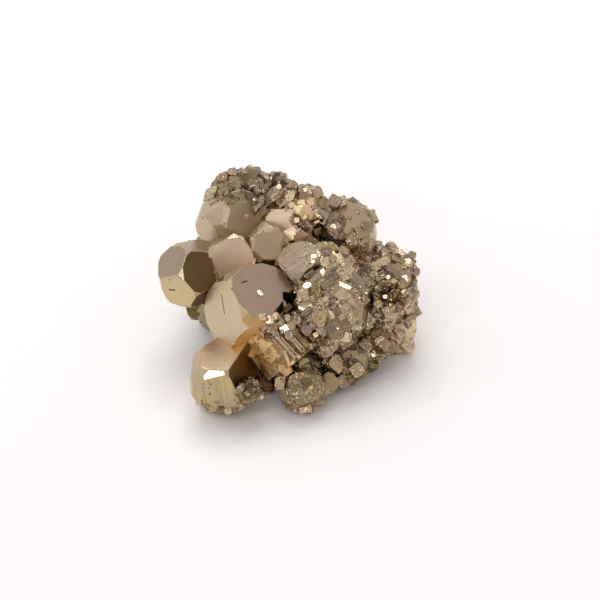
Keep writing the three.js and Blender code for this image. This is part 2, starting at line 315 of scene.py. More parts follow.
finishes = {
    "plain": (1.0, 0.4, 0.2, 0.05),
    "even": (1.08, 0.36, 0.15, 0.08),
    "mauve": (0.95, 0.12, 0.12, 0.08),
    "dusk": (0.78, 0.14, 0.12, 0.08),
    "tan": (1.0, 0.5, 0.25, 0.05),
    "gold": (1.1, 0.62, 0.6, 0.12),
    "straw": (0.96, 0.6, 0.4, 0.12),
    "top": (1.75, 0.37, 0.2, 0.1),
    "front": (0.84, 0.6, 0.7, 0.12),
    "yellow": (1.6, 0.5, 0.1, 0.25),
    "olive": (1.5, 0.75, 0.12, 0.25),
    "leaf": (1.2, 0.75, 0.12, 0.2),
    "amber": (1.4, 0.95, 0.12, 0.2),
    "orange": (1.5, 0.8, 0.2, 0.3),
    "pale": (0.97, 0.4, 0.15, 0.15),
    "streaked": (1.02, 0.4, 0.5, 0.12),
    "soft": (0.9, 0.3, 0.1, 0.15),
    "lit": (1.3, 0.38, 0.2, 0.08),
    "white": (1.45, 0.28, 0.1, 0.1),
    "sheen": (1.78, 0.17, 0.1, 0.1),
    "pink": (1.2, 0.05, 0.1, 0.0),
    "lined": (1.0, 0.12, 1.6, 0.05),
    "bright": (1.3, 0.3, 0.1, 0.0),
    "brown": (0.66, 0.5, 0.3, 0.05),
    "rust": (1.0, 1.0, 0.1, 0.1),
    # umber: painted shade in a dark umber, for faces and crystals that lie in shade or look into
    # gaps
    "umber": (0.28, 1.0, 0.2, 0.1),
    "dark": (0.46, 0.8, 0.2, 0.1),
    "shadow": (0.3, 0.5, 0.3, 0.2),
}
nearFace = math.cos(math.radians(12))  # a direction this near to a face's own means that face
unlike = {"tone": (0.93, 1.05), "warmth": (-0.12, 0.12), "lines": (0, 50)}  # from face to face


def finishOf(normal, settings, draw):
    for compass, elevation, name in settings.get("faces", ()):
        if normal.dot(direction(compass, elevation)) > nearFace:
            return finishes[name]
    tone, warmth, lines, frost = finishes[settings.get("finish", "plain")]
    return (tone * draw.uniform(*unlike["tone"]), warmth + draw.uniform(*unlike["warmth"]), lines,
            frost)


def mainAxis(normal):
    return max(range(3), key=lambda axis: abs(normal[axis]))


def linesAlong(normal, hand):
    along = Vector((0, 0, 0))
    along[(mainAxis(normal) + hand) % 3] = 1
    return (along - normal * along.dot(normal)).normalized()


# growth holds where a corner lies across and along its face's growth lines, in millimetres, and
# a number for the face. finish holds the numbers of the face's finish.

def markFaces(piece, turn, settings, seed):
    draw = random.Random(seed)
    mesh = piece.data
    growth, finish, known = [], [], {}
    for face in mesh.polygons:
        normal = face.normal
        key = tuple(round(value, 1) for value in normal)
        if key not in known:
            known[key] = (draw.uniform(*unlike["lines"]), finishOf(turn @ normal, settings, draw))
        number, numbers = known[key]
        along = linesAlong(normal, settings.get("hand", 1))
        across = normal.cross(along)
        for index in face.vertices:
            point = mesh.vertices[index].co
            growth += (across.dot(point), along.dot(point), number)
            finish += numbers
    mesh.attributes.new("growth", "FLOAT_VECTOR", "CORNER").data.foreach_set("vector", growth)
    mesh.attributes.new("finish", "FLOAT_COLOR", "CORNER").data.foreach_set("color", finish)


def sortMesh(piece):  # extruding leaves the faces in another order each run
    mesh = piece.data
    order = sorted(range(len(mesh.vertices)), key=lambda index: tuple(mesh.vertices[index].co))
    number = {index: position for position, index in enumerate(order)}
    points = [mesh.vertices[index].co.copy() for index in order]
    faces = []
    for face in mesh.polygons:
        corners = [number[index] for index in face.vertices]
        first = corners.index(min(corners))
        faces.append(corners[first:] + corners[:first])
    mesh.clear_geometry()
    mesh.from_pydata(points, [], sorted(faces))


# Growth steps: a face is cut into strips across its lines, and each strip is raised or sunk

def cutSteps(piece, steps):
    draw = random.Random(steps["seed"])
    facing, across = Vector(steps["face"]), Vector(steps["across"])

    def onFace(face):
        return face.normal.dot(facing) > nearFace

    along = [across.dot(piece.data.vertices[index].co)
             for face in piece.data.polygons if onFace(face) for index in face.vertices]
    places = [min(along) + draw.uniform(*steps["widths"])]
    while places[-1] < max(along) - steps["widths"][0]:
        places.append(places[-1] + draw.uniform(*steps["widths"]))
    for spot in places:
        selectFaces(piece, onFace)
        startEdit(piece)
        bpy.ops.mesh.bisect(plane_co=across * spot, plane_no=across)
        endEdit()
    for level, height in enumerate(steps["heights"]):
        def inStrip(face):
            strip = sum(spot < across.dot(face.center) for spot in places)
            return onFace(face) and (strip * steps["skip"]) % len(steps["heights"]) == level
        if height and selectFaces(piece, inStrip):
            startEdit(piece)
            bpy.ops.mesh.extrude_region_move(TRANSFORM_OT_translate={"value": facing * height})
            endEdit()
    sortMesh(piece)


def cutCorners(piece, depth):
    tips = []
    for vertex in piece.data.vertices:  # vertices that lie close together are one corner
        if all((vertex.co - tip).length > 3 * depth for tip in tips):
            tips.append(vertex.co.copy())
    for tip in tips:
        cutFace(piece, tip.normalized(), tip.length - depth)


def reachOf(settings):  # how far a cube's corner would be from the crystal's centre
    return settings["size"] * max(settings.get("stretch", (1, 1, 1))) * math.sqrt(3)


def shapeCrystal(name, settings):
    piece = copyOf(blanks[settings["habit"]], name)
    stretch = Vector(settings.get("stretch", (1, 1, 1))) * settings["size"]
    turn = settings.get("turn") or turnOf(settings)
    place(piece, Matrix.Diagonal((*stretch, 1)))
    for compass, elevation, distance in settings.get("cuts", ()):
        cutFace(piece, turn.transposed() @ direction(compass, elevation), distance)
    if "corner" in settings:
        cutCorners(piece, settings["corner"])
    edge = settings.get("edge", 0.1)
    if edge:
        bevelEdges(piece, edge)
    for steps in settings.get("steps", ()):
        cutSteps(piece, steps)
    markFaces(piece, turn, settings, settings.get("seed", len(name)))
    place(piece, Matrix.Translation(settings["at"]) @ turn.to_4x4())
    return piece


def makePitCutter():
    piece = addBall()
    piece.name = "pit_cutter"
    roughen(piece, pit["rough"])
    markFaces(piece, Matrix.Identity(3), {"finish": "shadow"}, 1)
    place(piece, pitMatrix(0))
    return piece


def makeHollow(name, hollow):
    piece = shapeCrystal(name, {**hollow, "finish": "shadow"})
    if "rough" in hollow:
        editAll(piece)
        bpy.ops.mesh.quads_convert_to_tris()
        bpy.ops.mesh.subdivide(number_cuts=1)
        endEdit()
        roughen(piece, hollow["rough"])
    return piece


cutters = [(makeHollow(name, hollow), hollow["at"], reachOf(hollow))
           for name, hollow in hollows.items()]
cutters.append((makePitCutter(), pit["mouth"], pit["depth"]))


def growCrystal(name, settings):
    piece = shapeCrystal(name, settings)
    for cutter, middle, reach in cutters:
        if (Vector(middle) - Vector(settings["at"])).length < reach + reachOf(settings):
            applyModifier(piece, "BOOLEAN", {"object": cutter, "operation": "DIFFERENCE"})
    cutGround(piece)
    return piece


# Materials. A Wire is a socket, so that shader maths reads as Python.

class Wire:
    def __init__(self, tree, socket=None):
        self.tree = tree
        self.socket = socket

    def node(self, kind, settings=None, inputs=None, output=0):
        made = self.tree.nodes.new("ShaderNode" + kind)
        for name, value in (settings or {}).items():
            if name == "stops":
                self.setStops(made.color_ramp, value)
            else:
                setattr(made, name, value)
        for name, value in (inputs or {}).items():
            if isinstance(value, Wire):
                self.tree.links.new(value.socket, made.inputs[name])
            else:
                made.inputs[name].default_value = value
        return Wire(self.tree, made.outputs[output] if made.outputs else None)

    @staticmethod
    def setStops(ramp, stops):
        while len(ramp.elements) < len(stops):
            ramp.elements.new(0.5)
        for element, (position, colour) in zip(ramp.elements, stops):
            element.position = position
            element.color = (*colour, 1)

    def math(self, operation, first, second):
        return self.node("Math", {"operation": operation}, {0: first, 1: second})

    def __add__(self, other):
        return self.math("ADD", self, other)

    __radd__ = __add__

    def __sub__(self, other):
        return self.math("SUBTRACT", self, other)

    def __rsub__(self, other):
        return self.math("SUBTRACT", other, self)

    def __mul__(self, other):
        return self.math("MULTIPLY", self, other)

    __rmul__ = __mul__

    def times(self, vector):
        return self.node("VectorMath", {"operation": "MULTIPLY"}, {0: self, 1: vector})

    def part(self, axis):
        return self.node("SeparateXYZ", None, {0: self}, axis)

    def rise(self, low, high):  # 0 below low, 1 above high, smooth between
        return self.node("MapRange", {"interpolation_type": "SMOOTHSTEP"},
                         {"Value": self, "From Min": low, "From Max": high})

    def noise(self, scale, detail=2.0, roughness=0.5):
        return self.node("TexNoise", None, {"Vector": self, "Scale": scale, "Detail": detail,
                                            "Roughness": roughness})


lineNoise = {"along": 0.06, "fine": 3.2, "fineAlong": 0.15, "apart": 3, "coarseShare": 1.6}
patchNoise = {"pits": (0.48, 0.6), "cells": (0.42, 0.56), "pitEdge": 0.05, "pitRoughness": 0.25}
tarnish = [  # colours of the metal from mauve to orange
    (0.0, (0.51, 0.40, 0.30)),
    (0.4, (0.57, 0.46, 0.31)),
    (0.7, (0.62, 0.48, 0.25)),
    (1.0, (0.70, 0.45, 0.18)),
]


def pyriteMaterial(name, look):
    material = bpy.data.materials.new(name)
    material.use_nodes = True
    tree = material.node_tree
    tree.nodes.clear()
    start = Wire(tree)
    growth = start.node("Attribute", {"attribute_name": "growth"}, output="Vector")
    finish = start.node("Attribute", {"attribute_name": "finish"}, output="Vector")
    tone, warmth, lines = finish.part("X"), finish.part("Y"), finish.part("Z")
    frost = start.node("Attribute", {"attribute_name": "finish"}, output="Alpha")
    place = start.node("TexCoord", output="Object").times((1 / mm, 1 / mm, 1 / mm))

    # growth lines: coarse and fine, long along the face and short across it
    scale, apart = look["lineScale"], lineNoise["apart"]
    coarse = growth.times((scale, scale * lineNoise["along"], apart)).noise(1, 2, 0.6)
    fine = growth.times((scale * lineNoise["fine"], scale * lineNoise["fineAlong"],
                         apart)).noise(1, 1, 0.5)
    ridges = (coarse - 0.5) * lineNoise["coarseShare"] + (fine - 0.5)
    blotch = place.noise(look["blotchScale"], 3, 0.55)
    grain = place.noise(look["grainScale"], 2, 0.6)
    pits = grain.rise(look["pitLevel"], look["pitLevel"] + patchNoise["pitEdge"])
    marks = pits * blotch.rise(*patchNoise["pits"])
    cells = place.node("TexVoronoi", {"distance": "CHEBYCHEV"},
                       {"Vector": place, "Scale": look["cellScale"]})
    facets = cells * blotch.rise(*patchNoise["cells"])  # crystals too small to model

    hue = start.node("ValToRGB", {"stops": tarnish},
                     {0: warmth + (blotch - 0.5) * look["hueSpread"]})
    shade = tone * (1 - marks * look["pitDarkness"]) * (1 + ridges * lines * look["lineShade"])
    colour = start.node("Mix", {"data_type": "RGBA", "blend_type": "MULTIPLY"},
                        {0: 1.0, 6: hue, 7: shade}, output=2)
    height = ridges * lines * look["lineHeight"] + (blotch - 0.5) * look["waves"]
    height = height - marks * look["pitDepth"] + (grain - 0.5) * look["grainHeight"]
    height = height - facets * look["cellHeight"]
    normal = start.node("Bump", None, {"Strength": 1.0, "Distance": mm, "Height": height},
                        output="Normal")
    rough = look["roughness"] + frost + (grain - 0.5) * look["roughSpread"]
    rough = rough + marks * patchNoise["pitRoughness"]
    surface = start.node("BsdfPrincipled", None, {
        "Base Color": colour, "Metallic": 1.0, "Roughness": rough, "Normal": normal})
    start.node("OutputMaterial", None, {"Surface": surface})
    return material


smoothLook = {
    "lineScale": 2.2, "lineHeight": 0.05, "lineShade": 0.35, "blotchScale": 0.26,
    "hueSpread": 0.8, "waves": 0.05, "grainScale": 2.6, "grainHeight": 0.012,
    "pitLevel": 0.66, "pitDarkness": 0.5, "pitDepth": 0.04, "roughness": 0.22, "roughSpread": 0.12,
    "cellScale": 1.0, "cellHeight": 0.0,
}
raggedLook = {
    **smoothLook, "blotchScale": 0.3, "hueSpread": 1.3, "waves": 0.25, "grainScale": 1.7,
    "grainHeight": 0.06, "pitLevel": 0.58, "pitDarkness": 0.8, "pitDepth": 0.12,
}
druseLook = {
    "lineScale": 4.5, "lineHeight": 0.035, "lineShade": 0.4, "blotchScale": 0.35,
    "hueSpread": 0.5, "waves": 0.05, "grainScale": 4.5, "grainHeight": 0.02,
    "pitLevel": 0.6, "pitDarkness": 0.55, "pitDepth": 0.05, "roughness": 0.16, "roughSpread": 0.2,
    "cellScale": 1.6, "cellHeight": 0.2,
}
darkLook = {
    "lineScale": 5.0, "lineHeight": 0.02, "lineShade": 0.3, "blotchScale": 0.5,
    "hueSpread": 0.5, "waves": 0.04, "grainScale": 5.0, "grainHeight": 0.02,
    "pitLevel": 0.62, "pitDarkness": 0.5, "pitDepth": 0.03, "roughness": 0.14, "roughSpread": 0.2,
    "cellScale": 2.5, "cellHeight": 0.1,
}
smoothPyrite = pyriteMaterial("smooth_pyrite", smoothLook)
raggedPyrite = pyriteMaterial("ragged_pyrite", raggedLook)
drusePyrite = pyriteMaterial("druse_pyrite", druseLook)
darkPyrite = pyriteMaterial("dark_pyrite", darkLook)
print("pyrite finishes made")


def finishPiece(piece, material, node="pyrite_cluster"):
    place(piece, Matrix.Scale(mm, 4) @ Matrix.Translation(-clusterMiddle))
    piece.data.materials.clear()
    piece.data.materials.append(material)
    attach(piece, "root")
    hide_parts(node)


# Druse: many small crystals on a large one. Coarse ones are the frame's own studs; grains grow on
# the surface that the host and its studs make together.

frameSeed = {"first": 4127, "step": 97}
frameChance = {"times": 1664525, "plus": 1013904223, "range": 2 ** 32}


def chance(seed):  # the frame's random numbers, so that the studs stand where its solid has them
    state = seed

    def draw(least=0.0, most=1.0):
        nonlocal state
        state = (state * frameChance["times"] + frameChance["plus"]) % frameChance["range"]
        return least + (most - least) * state / frameChance["range"]

    return draw


def evenDirections(count, draw):
    goldenAngle = math.pi * (3 - math.sqrt(5))
    ways = []
    for index in range(count):
        height = 1 - 2 * (index + draw()) / count
        ring = math.sqrt(1 - height * height)
        angle = index * goldenAngle
        ways.append(Vector((ring * math.cos(angle), ring * math.sin(angle), height)))
    return ways


def sizeOf(settings, chosen, smallness):  # small ones are commoner than large ones
    least, most = settings["sizes"]
    return least + (most - least) * chosen ** smallness


def within(way, middleWay, spread):
    return way.dot(middleWay) > math.cos(math.radians(spread))


def leaning(most, draw):
    turns = [Matrix.Rotation(math.radians(draw(-most, most)), 3, axis) for axis in "XYZ"]
    return turns[0] @ turns[1] @ turns[2]


def surfaceDistance(host, way):
    local = turnOf(host).inverted() @ way
    return host["size"] * min(distance / normal.dot(local)
                              for normal, distance in planesOf[host["habit"]]
                              if normal.dot(local) > 1e-3)


studUsual = {"depths": (0.25, 0.65), "sink": 0, "smallness": 1.6, "edge": 0.06,
             "habits": ("cube", "cube", "cube", "plain")}


def studsOn(host, special):
    studs = {**studUsual, **special}
    draw = chance(frameSeed["first"] + studs["row"] * frameSeed["step"])
    middleWay = direction(*studs["toward"])
    found = []
    for even in evenDirections(studs["places"], draw):
        way = turnUpTo(middleWay) @ even
        size = sizeOf(studs, draw(), studs["smallness"])
        reach = surfaceDistance(host, way) - (draw(*studs["depths"]) + studs["sink"]) * size
        habit = studs["habits"][int(draw(0, len(studs["habits"])))]
        turn = leaning(studs["lean"], draw) @ turnOf(host)
        if within(way, middleWay, studs["spread"]):
            found.append({"at": Vector(host["at"]) + way * reach, "size": size, "habit": habit,
                          "turn": turn, "edge": studs["edge"] * size})
    return found


def makeGrain(name, habit, edge):
    piece = copyOf(blanks[habit], name)
    if edge:
        bevelEdges(piece, edge, 1)
    markFaces(piece, Matrix.Identity(3), {}, len(name))
    piece.hide_render = True
    return piece


grainShapes = [makeGrain("cut_grain", "plain", 0), makeGrain("blunt_grain", "blunt", 0),
               makeGrain("cube_grain", "cube", 0.12), makeGrain("bare_cube_grain", "cube", 0)]


def addGrain(shape, at, turn, size, finish):
    grain = copyOf(shape, "grain")
    grain.data.attributes["finish"].data.foreach_set("color", finish * len(grain.data.loops))
    grain.matrix_world = Matrix.Translation(at) @ turn.to_4x4() @ Matrix.Diagonal((*size, 1))
    return grain


def inBox(point, reach):
    low, high = (Vector(corner) / mm + clusterMiddle for corner in cadBox)
    inside = all(low[axis] + reach < point[axis] < high[axis] - reach for axis in (0, 1))
    return inside and reach < point.z < high.z - reach


# Shelter: how much of the sky the crystals round a point hide. It paints shade into the crevices:
# the more sky is hidden, the darker and browner a face or grain is made.

# rays that measure shelter, and how much the painted shade darkens grains, lobes and smooth crystals
# and how much browner it turns them
occlusionShadeLook = {"reach": 5.0, "rays": 28, "seed": 8, "grazing": 0.2, "lift": 0.04, "inward": 0.2,
               "shadeBrowner": 0.15, "grains": 0.75, "lobes": 0.75, "smooth": 0.5}
skyWays = evenDirections(occlusionShadeLook["rays"], random.Random(occlusionShadeLook["seed"]).random)


def treeOf(pieces):
    points, faces = [], []
    for piece in pieces:
        first = len(points)
        points += [vertex.co.copy() for vertex in piece.data.vertices]
        faces += [[first + index for index in face.vertices] for face in piece.data.polygons]
    return BVHTree.FromPolygons(points, faces)


def shelterAt(tree, point, normal):
    reach = occlusionShadeLook["reach"]
    start = point + normal * occlusionShadeLook["lift"]
    hidden, count = 0, 0
    for way in skyWays:
        if way.dot(normal) > occlusionShadeLook["grazing"]:
            hit, facing, index, distance = tree.ray_cast(start, way, reach)
            count += 1
            hidden += 0 if hit is None else 1 - distance / reach
    return hidden / max(count, 1)


def buried(tree, point, normal):  # inside another crystal: the first face above shows its back
    hit, facing, index, distance = tree.ray_cast(point + normal * occlusionShadeLook["lift"] / 2, normal)
    return hit is not None and facing.dot(normal) > 0


# painted shade: a finish made darker and browner the more sheltered its place is
def withPaintedShade(finish, shelter, depth):
    tone, warmth, lines, frost = finish
    return (tone * (1 - depth * shelter), warmth + occlusionShadeLook["shadeBrowner"] * shelter, lines, frost)


# painted shade: each corner of a piece gets darker and browner where the crystals round it hide the
# sky
def paintCreviceShade(piece, tree, depth):
    mesh = piece.data
    finish = mesh.attributes["finish"].data
    for face in mesh.polygons:
        for index in face.loop_indices:
            corner = mesh.vertices[mesh.loops[index].vertex_index].co
            point = corner.lerp(face.center, occlusionShadeLook["inward"])
            shelter = shelterAt(tree, point, face.normal)
            finish[index].color = withPaintedShade(finish[index].color, shelter, depth)


sparkleWays = [(-6, 50), (24, 25), (-48, 55), (90, 57), (30, 80)]  # these mirror a lamp
grainUsual = {
    "stretch": (0.6, 1.4), "sink": (0.35, 0.9), "shapes": (0, 1, 2, 3), "smallness": 2,
    "frost": 0.0, "sparkle": 0, "patch": (1, -2),  # a noise's scale, and the least it has to be
    "stray": 0.15, "strayLean": 4, "sparkleLean": 2,
    "bare": (), "bareNear": 0.95, "bareShare": 0.97,  # faces that stay free of nearly all grains
    "pitGaps": (0.2, 0.8, 1.1), "reach": 2.3, "farOut": 30,
}


def grainTurn(grains, host, draw):
    if draw.random() < grains["sparkle"]:
        spin = Matrix.Rotation(draw.uniform(0, 3), 3, "Z")
        lean = leaning(grains["sparkleLean"], draw.uniform)
        return lean @ turnUpTo(direction(*draw.choice(sparkleWays))) @ spin
    most = grains["lean"] * (grains["strayLean"] if draw.random() < grains["stray"] else 1)
    return leaning(most, draw.uniform) @ turnOf(host)


def isFree(point, normal, size, grains, around, draw):
    if point is None or inPit(point, -draw.choice(grains["pitGaps"])):
        return False
    scale, level = grains["patch"]
    if not inBox(point, size * grains["reach"]) or noise.noise(point * scale) < level:
        return False
    bare = any(normal.dot(direction(*spot)) > grains["bareNear"] for spot in grains["bare"])
    return not (bare and draw.random() < grains["bareShare"] or buried(around, point, normal))


def grainsOn(surface, host, special, seed, around):
    grains = {**grainUsual, **special}
    draw = random.Random(seed)
    tree = treeOf([surface])
    middleWay = direction(*grains["toward"])
    found = []
    for even in evenDirections(grains["places"], draw.random):
        way = turnUpTo(middleWay) @ even
        if not within(way, middleWay, grains["spread"]):
            continue
        outside = Vector(host["at"]) + way * grains["farOut"]
        point, normal, index, distance = tree.ray_cast(outside, -way, grains["farOut"])
        size = sizeOf(grains, draw.random(), grains["smallness"])
        turn = grainTurn(grains, host, draw)
        stretch = Vector([draw.uniform(*grains["stretch"]) for axis in range(3)])
        tone, warmth = draw.uniform(*grains["tones"]), draw.gauss(*grains["warmth"])
        lines, sink = draw.random() ** 2, draw.uniform(*grains["sink"])
        shape = grainShapes[draw.choice(grains["shapes"])]
        if isFree(point, normal, size, grains, around, draw):
            # painted shade on the grain where the crystals round it hide the sky
            finish = withPaintedShade((tone, warmth, lines, grains["frost"]),
                               shelterAt(around, point, normal), occlusionShadeLook["grains"])
            found.append(addGrain(shape, point - normal * size * sink, turn, stretch * size,
                                  finish))
    return found


# Large crystals. at: centre; size: from there to a cube face; top: direction of one cube face;
# spin: turn about it; edge: width of the bevels, 0.1 if not given; hand: which way the growth
# lines run, 1 if not given; faces: finishes by direction, which paint light and shade onto single
# faces: a lighter top, brighter faces where light falls, darker faces that look into gaps. The
# order is also that of the seeds.

smoothCrystals = {}
smoothCrystals["front_left_crystal"] = {
    "at": (-11.9, -15.6, 6.3), "size": 5.6, "top": (-123, 82), "spin": 119, "habit": "boxy",
    "corner": 0.2, "finish": "tan",
    "cuts": [(-20, 40, 7.2), (68, 22, 4.7), (-52, 38, 7.4), (-88, 38, 6.6), (-138, 28, 6.8),
             (0, -22, 6.2), (-60, -25, 6.8), (55, -25, 6.2), (-30, -45, 6.8)],
    "faces": [(-123, 82, "top"), (-20, 40, "bright"), (-4, 4, "front"), (0, -22, "brown"),
              (-52, 38, "pale"), (-88, 38, "soft"), (68, 22, "umber"), (86, 7, "umber")],
    "steps": [{"face": (0, -1, 0), "across": (1, 0, 0), "widths": (0.22, 0.6), "skip": 3,
               "heights": (0, -0.05, 0.04, 0, -0.08, 0.03, -0.03), "seed": 3}],
}
smoothCrystals["far_left_crystal"] = {
    "at": (-18.1, 2, 16.9), "size": 6.2, "top": (-161, 49), "spin": -59, "habit": "pentagonal",
    "corner": 0.35,
    "faces": [(-67, 40, "dusk"), (-31, -2, "straw"), (25, 41, "umber"), (161, 68, "mauve"),
              (34, -25, "dark")],
}
smoothCrystals["upper_left_crystal"] = {
    "at": (-12.1, 4.2, 18.5), "size": 4.5, "top": (-128, 51), "spin": -28, "stretch": (1, 1, 0.9),
    "habit": "boxy", "corner": 0.35,
    "faces": [(-128, 51, "mauve"), (18, 34, "sheen")],
}
smoothCrystals["upper_middle_crystal"] = {
    "at": (-4.3, 6, 20.6), "size": 3.8, "top": (3, 36), "spin": 44, "habit": "blunt",
    "corner": 0.25, "faces": [(-58, 21, "mauve"), (43, -15, "brown")],
}
smoothCrystals["middle_crystal"] = {
    "at": (-7, -6, 14.9), "size": 6.1, "top": (60, 62), "spin": 150,
    "stretch": (1.05, 0.96, 1.02), "habit": "boxy", "corner": 0.4, "finish": "tan",
    "cuts": [(62.8, -3, 6)],
    "faces": [(60, 62, "mauve"), (-57, 14, "streaked"), (2, 23, "rust"), (-98, 62, "brown"),
              (27, -24, "orange"), (62.8, -3, "shadow")],
}
stepped = {
    "at": (-2.4, -10.6, 10.9), "size": 4.7, "top": (60, 57), "spin": -6,
    "stretch": (0.78, 1.15, 0.88), "habit": "boxy", "corner": 0.3, "hand": 2,
    "finish": "gold", "faces": [(-35, 3, "olive"), (60, 57, "tan")],
    "steps": [{"face": (-1, 0, 0), "across": (0, 1, 0), "widths": (0.5, 1.6), "skip": 2,
               "heights": (0, 0.12, -0.1, 0.2, 0.05), "seed": 4}],
}
smoothCrystals["ridge_crystal"] = {
    "at": (2.4, 0.6, 18.9), "size": 3.8, "top": (-50, 74), "spin": -95, "habit": "boxy",
    "edge": 0.08, "corner": 0.4, "finish": "mauve",
    "faces": [(1, -10, "brown"), (-50, 74, "lined")],
    "steps": [{"face": (0, 0, 1), "across": (1, 0, 0), "widths": (0.3, 0.9), "skip": 2,
               "heights": (0, 0.05, -0.03, 0.08, -0.02), "seed": 5}],
}
smoothCrystals["rear_left_crystal"] = {
    "at": (-11, 13.4, 20.3), "size": 6, "top": (-130, 55), "spin": 172, "habit": "blunt",
    "corner": 0.3, "finish": "mauve", "cuts": [(-98, 22, 6.6)],
    "faces": [(40, 35, "even"), (-92, 44, "soft"), (-47, -5, "pale"), (-25, 11, "lit"),
              (35, 61, "brown"), (-34, 49, "soft")],
}
smoothCrystals["pale_block"] = {
    "at": (-1.1, 11, 21.6), "size": 2.7, "top": (-30, 40), "spin": 20, "habit": "plain",
    "finish": "white",
}
smoothCrystals["gold_block"] = {
    "at": (1.2, 8.2, 20.6), "size": 1.8, "top": (-45, 50), "spin": 10,
    "stretch": (0.8, 0.9, 1.5), "habit": "plain", "edge": 0.08, "hand": 2, "finish": "white",
}
smoothCrystals["face_block"] = {
    "at": (6.6, -14.4, 3.8), "size": 1.8, "top": (40, 40), "spin": 10, "habit": "plain",
    "edge": 0.08, "finish": "tan",
}
smoothCrystals["grey_block"] = {
    "at": (2.7, -14.4, 8), "size": 1.2, "top": (30, 60), "spin": 25, "habit": "plain",
    "edge": 0.06,
}
smoothCrystals["striped_cube"] = {
    "at": (-1.4, -17.5, 6.6), "size": 1, "top": (-30, 40), "spin": 105, "habit": "plain",
    "stretch": (1.2, 1, 1), "edge": 0.08, "finish": "brown",
    "steps": [{"face": (0, 0, 1), "across": (1, 0, 0), "widths": (0.14, 0.3), "skip": 1,
               "heights": (0, -0.08), "seed": 2}],
}
smoothCrystals["under_left_crystal"] = {
    "at": (-11.3, 0.5, 9.8), "size": 4.6, "top": (40, 60), "spin": 20, "habit": "plain",
    "finish": "brown",
}
smoothCrystals["left_neck_crystal"] = {
    "at": (-8.6, -9, 7.4), "size": 4.2, "top": (50, 70), "spin": 25, "habit": "plain",
    # dark: painted shade on the faces below; the top stays orange
    "finish": "dark", "faces": [(50, 70, "orange")],
}
smoothCrystals["front_neck_crystal"] = {
    "at": (2, -8.4, 5), "size": 3.8, "top": (30, 55), "spin": 5, "habit": "plain",
    "finish": "brown",
}
smoothPieces = [growCrystal(name, {"seed": number, **settings})
                for number, (name, settings) in enumerate(smoothCrystals.items())]
print("smooth crystals grown")


# The stepped crystal: bars of unlike height lie side by side along its upper face

stepLedges = {
    "heights": (0.35, 0.8, 0.5, 1.15), "first": 0.2, "thickness": 0.7, "length": 0.58,
    "shift": -0.3, "edge": 0.06, "hand": 2, "finish": "lit",
    "steps": {"face": (0, 0, 1), "across": (1, 0, 0), "widths": (0.2, 0.45), "skip": 1,
              "heights": (0, -0.12, 0.06)},
}


def makeLedges(host, ledges):
    halfX, halfY, halfZ = (stretch * host["size"] for stretch in host["stretch"])
    pitch = 2 * halfX / len(ledges["heights"])
    bars = []
    for row, height in enumerate(ledges["heights"]):
        bar = copyOf(blanks["cube"], "ledge")
        size = (pitch * ledges["thickness"] / 2, halfY * ledges["length"], (halfZ + height) / 2)
        place(bar, Matrix.Diagonal((*size, 1)))
        bevelEdges(bar, ledges["edge"])
        cutSteps(bar, {**ledges["steps"], "seed": row})
        markFaces(bar, turnOf(host), ledges, row)
        middle = Vector((-halfX + (row + ledges["first"]) * pitch + size[0],
                         halfY * ledges["shift"], size[2]))
        place(bar, Matrix.Translation(host["at"]) @ turnOf(host).to_4x4()
              @ Matrix.Translation(middle))
        bars.append(bar)
    return bars


smoothPieces.append(joinAll(
    [growCrystal("stepped_crystal", stepped)] + makeLedges(stepped, stepLedges),
    "stepped_crystal"))
print("stepped crystal grown")


# Lobes: a host, the frame's studs on it, and layers of grains over both. over: the part of the
# lobe that its layers lie on; material: druse if not given; finishes: of the host and the studs.

def growLobe(name, lobe):
    kinds = lobe["finishes"]
    parts = [growCrystal(name, {"finish": kinds[0], **lobe["host"]})]
    for row, stud in enumerate(studsOn(lobe["host"], lobe["studs"]) if "studs" in lobe else ()):
        stud.update({"seed": row, "finish": kinds[row % len(kinds)], "hand": 1 + row % 2})
        grown = growCrystal(name + "_stud", stud)
        if grown.data.polygons:  # the pit takes some studs away whole
            parts.append(grown)
        else:
            bpy.data.objects.remove(grown)
    return joinAll(parts + lobe.get("extras", []), name)


def growGrains(surface, lobe, around):
    grown = [surface]
    for layer, special in enumerate(lobe["grains"]):
        grains = {**lobe.get("over", {}), **special}
        grown += grainsOn(surface, lobe["host"], grains, lobe["seed"] * 10 + layer, around)
    # painted shade in the lobe's crevices
    paintCreviceShade(surface, around, occlusionShadeLook["lobes"])
    return joinAll(grown, surface.name)


worn = {"sink": 0.3, "habits": ("plain", "blunt", "plain", "cube")}
blocks = {"sizes": (0.35, 0.95), "lean": 8, "sink": (0.62, 0.98), "stretch": (0.5, 1.5),
          "shapes": (0, 2, 3), "tones": (0.5, 1.4), "warmth": (0.28, 0.15)}
lumps = {"sizes": (0.3, 0.75), "lean": 25, "sink": (0.65, 1.0), "stretch": (0.8, 1.3),
         "shapes": (0, 1), "tones": (0.45, 1.2), "warmth": (0.2, 0.12), "frost": 0.06,
         "sparkle": 0.04}
glitter = {"sizes": (0.1, 0.3), "lean": 14, "sink": (0.3, 0.85), "tones": (0.45, 1.5),
           "warmth": (0.28, 0.15), "patch": (0.45, 0.02), "sparkle": 0.2}

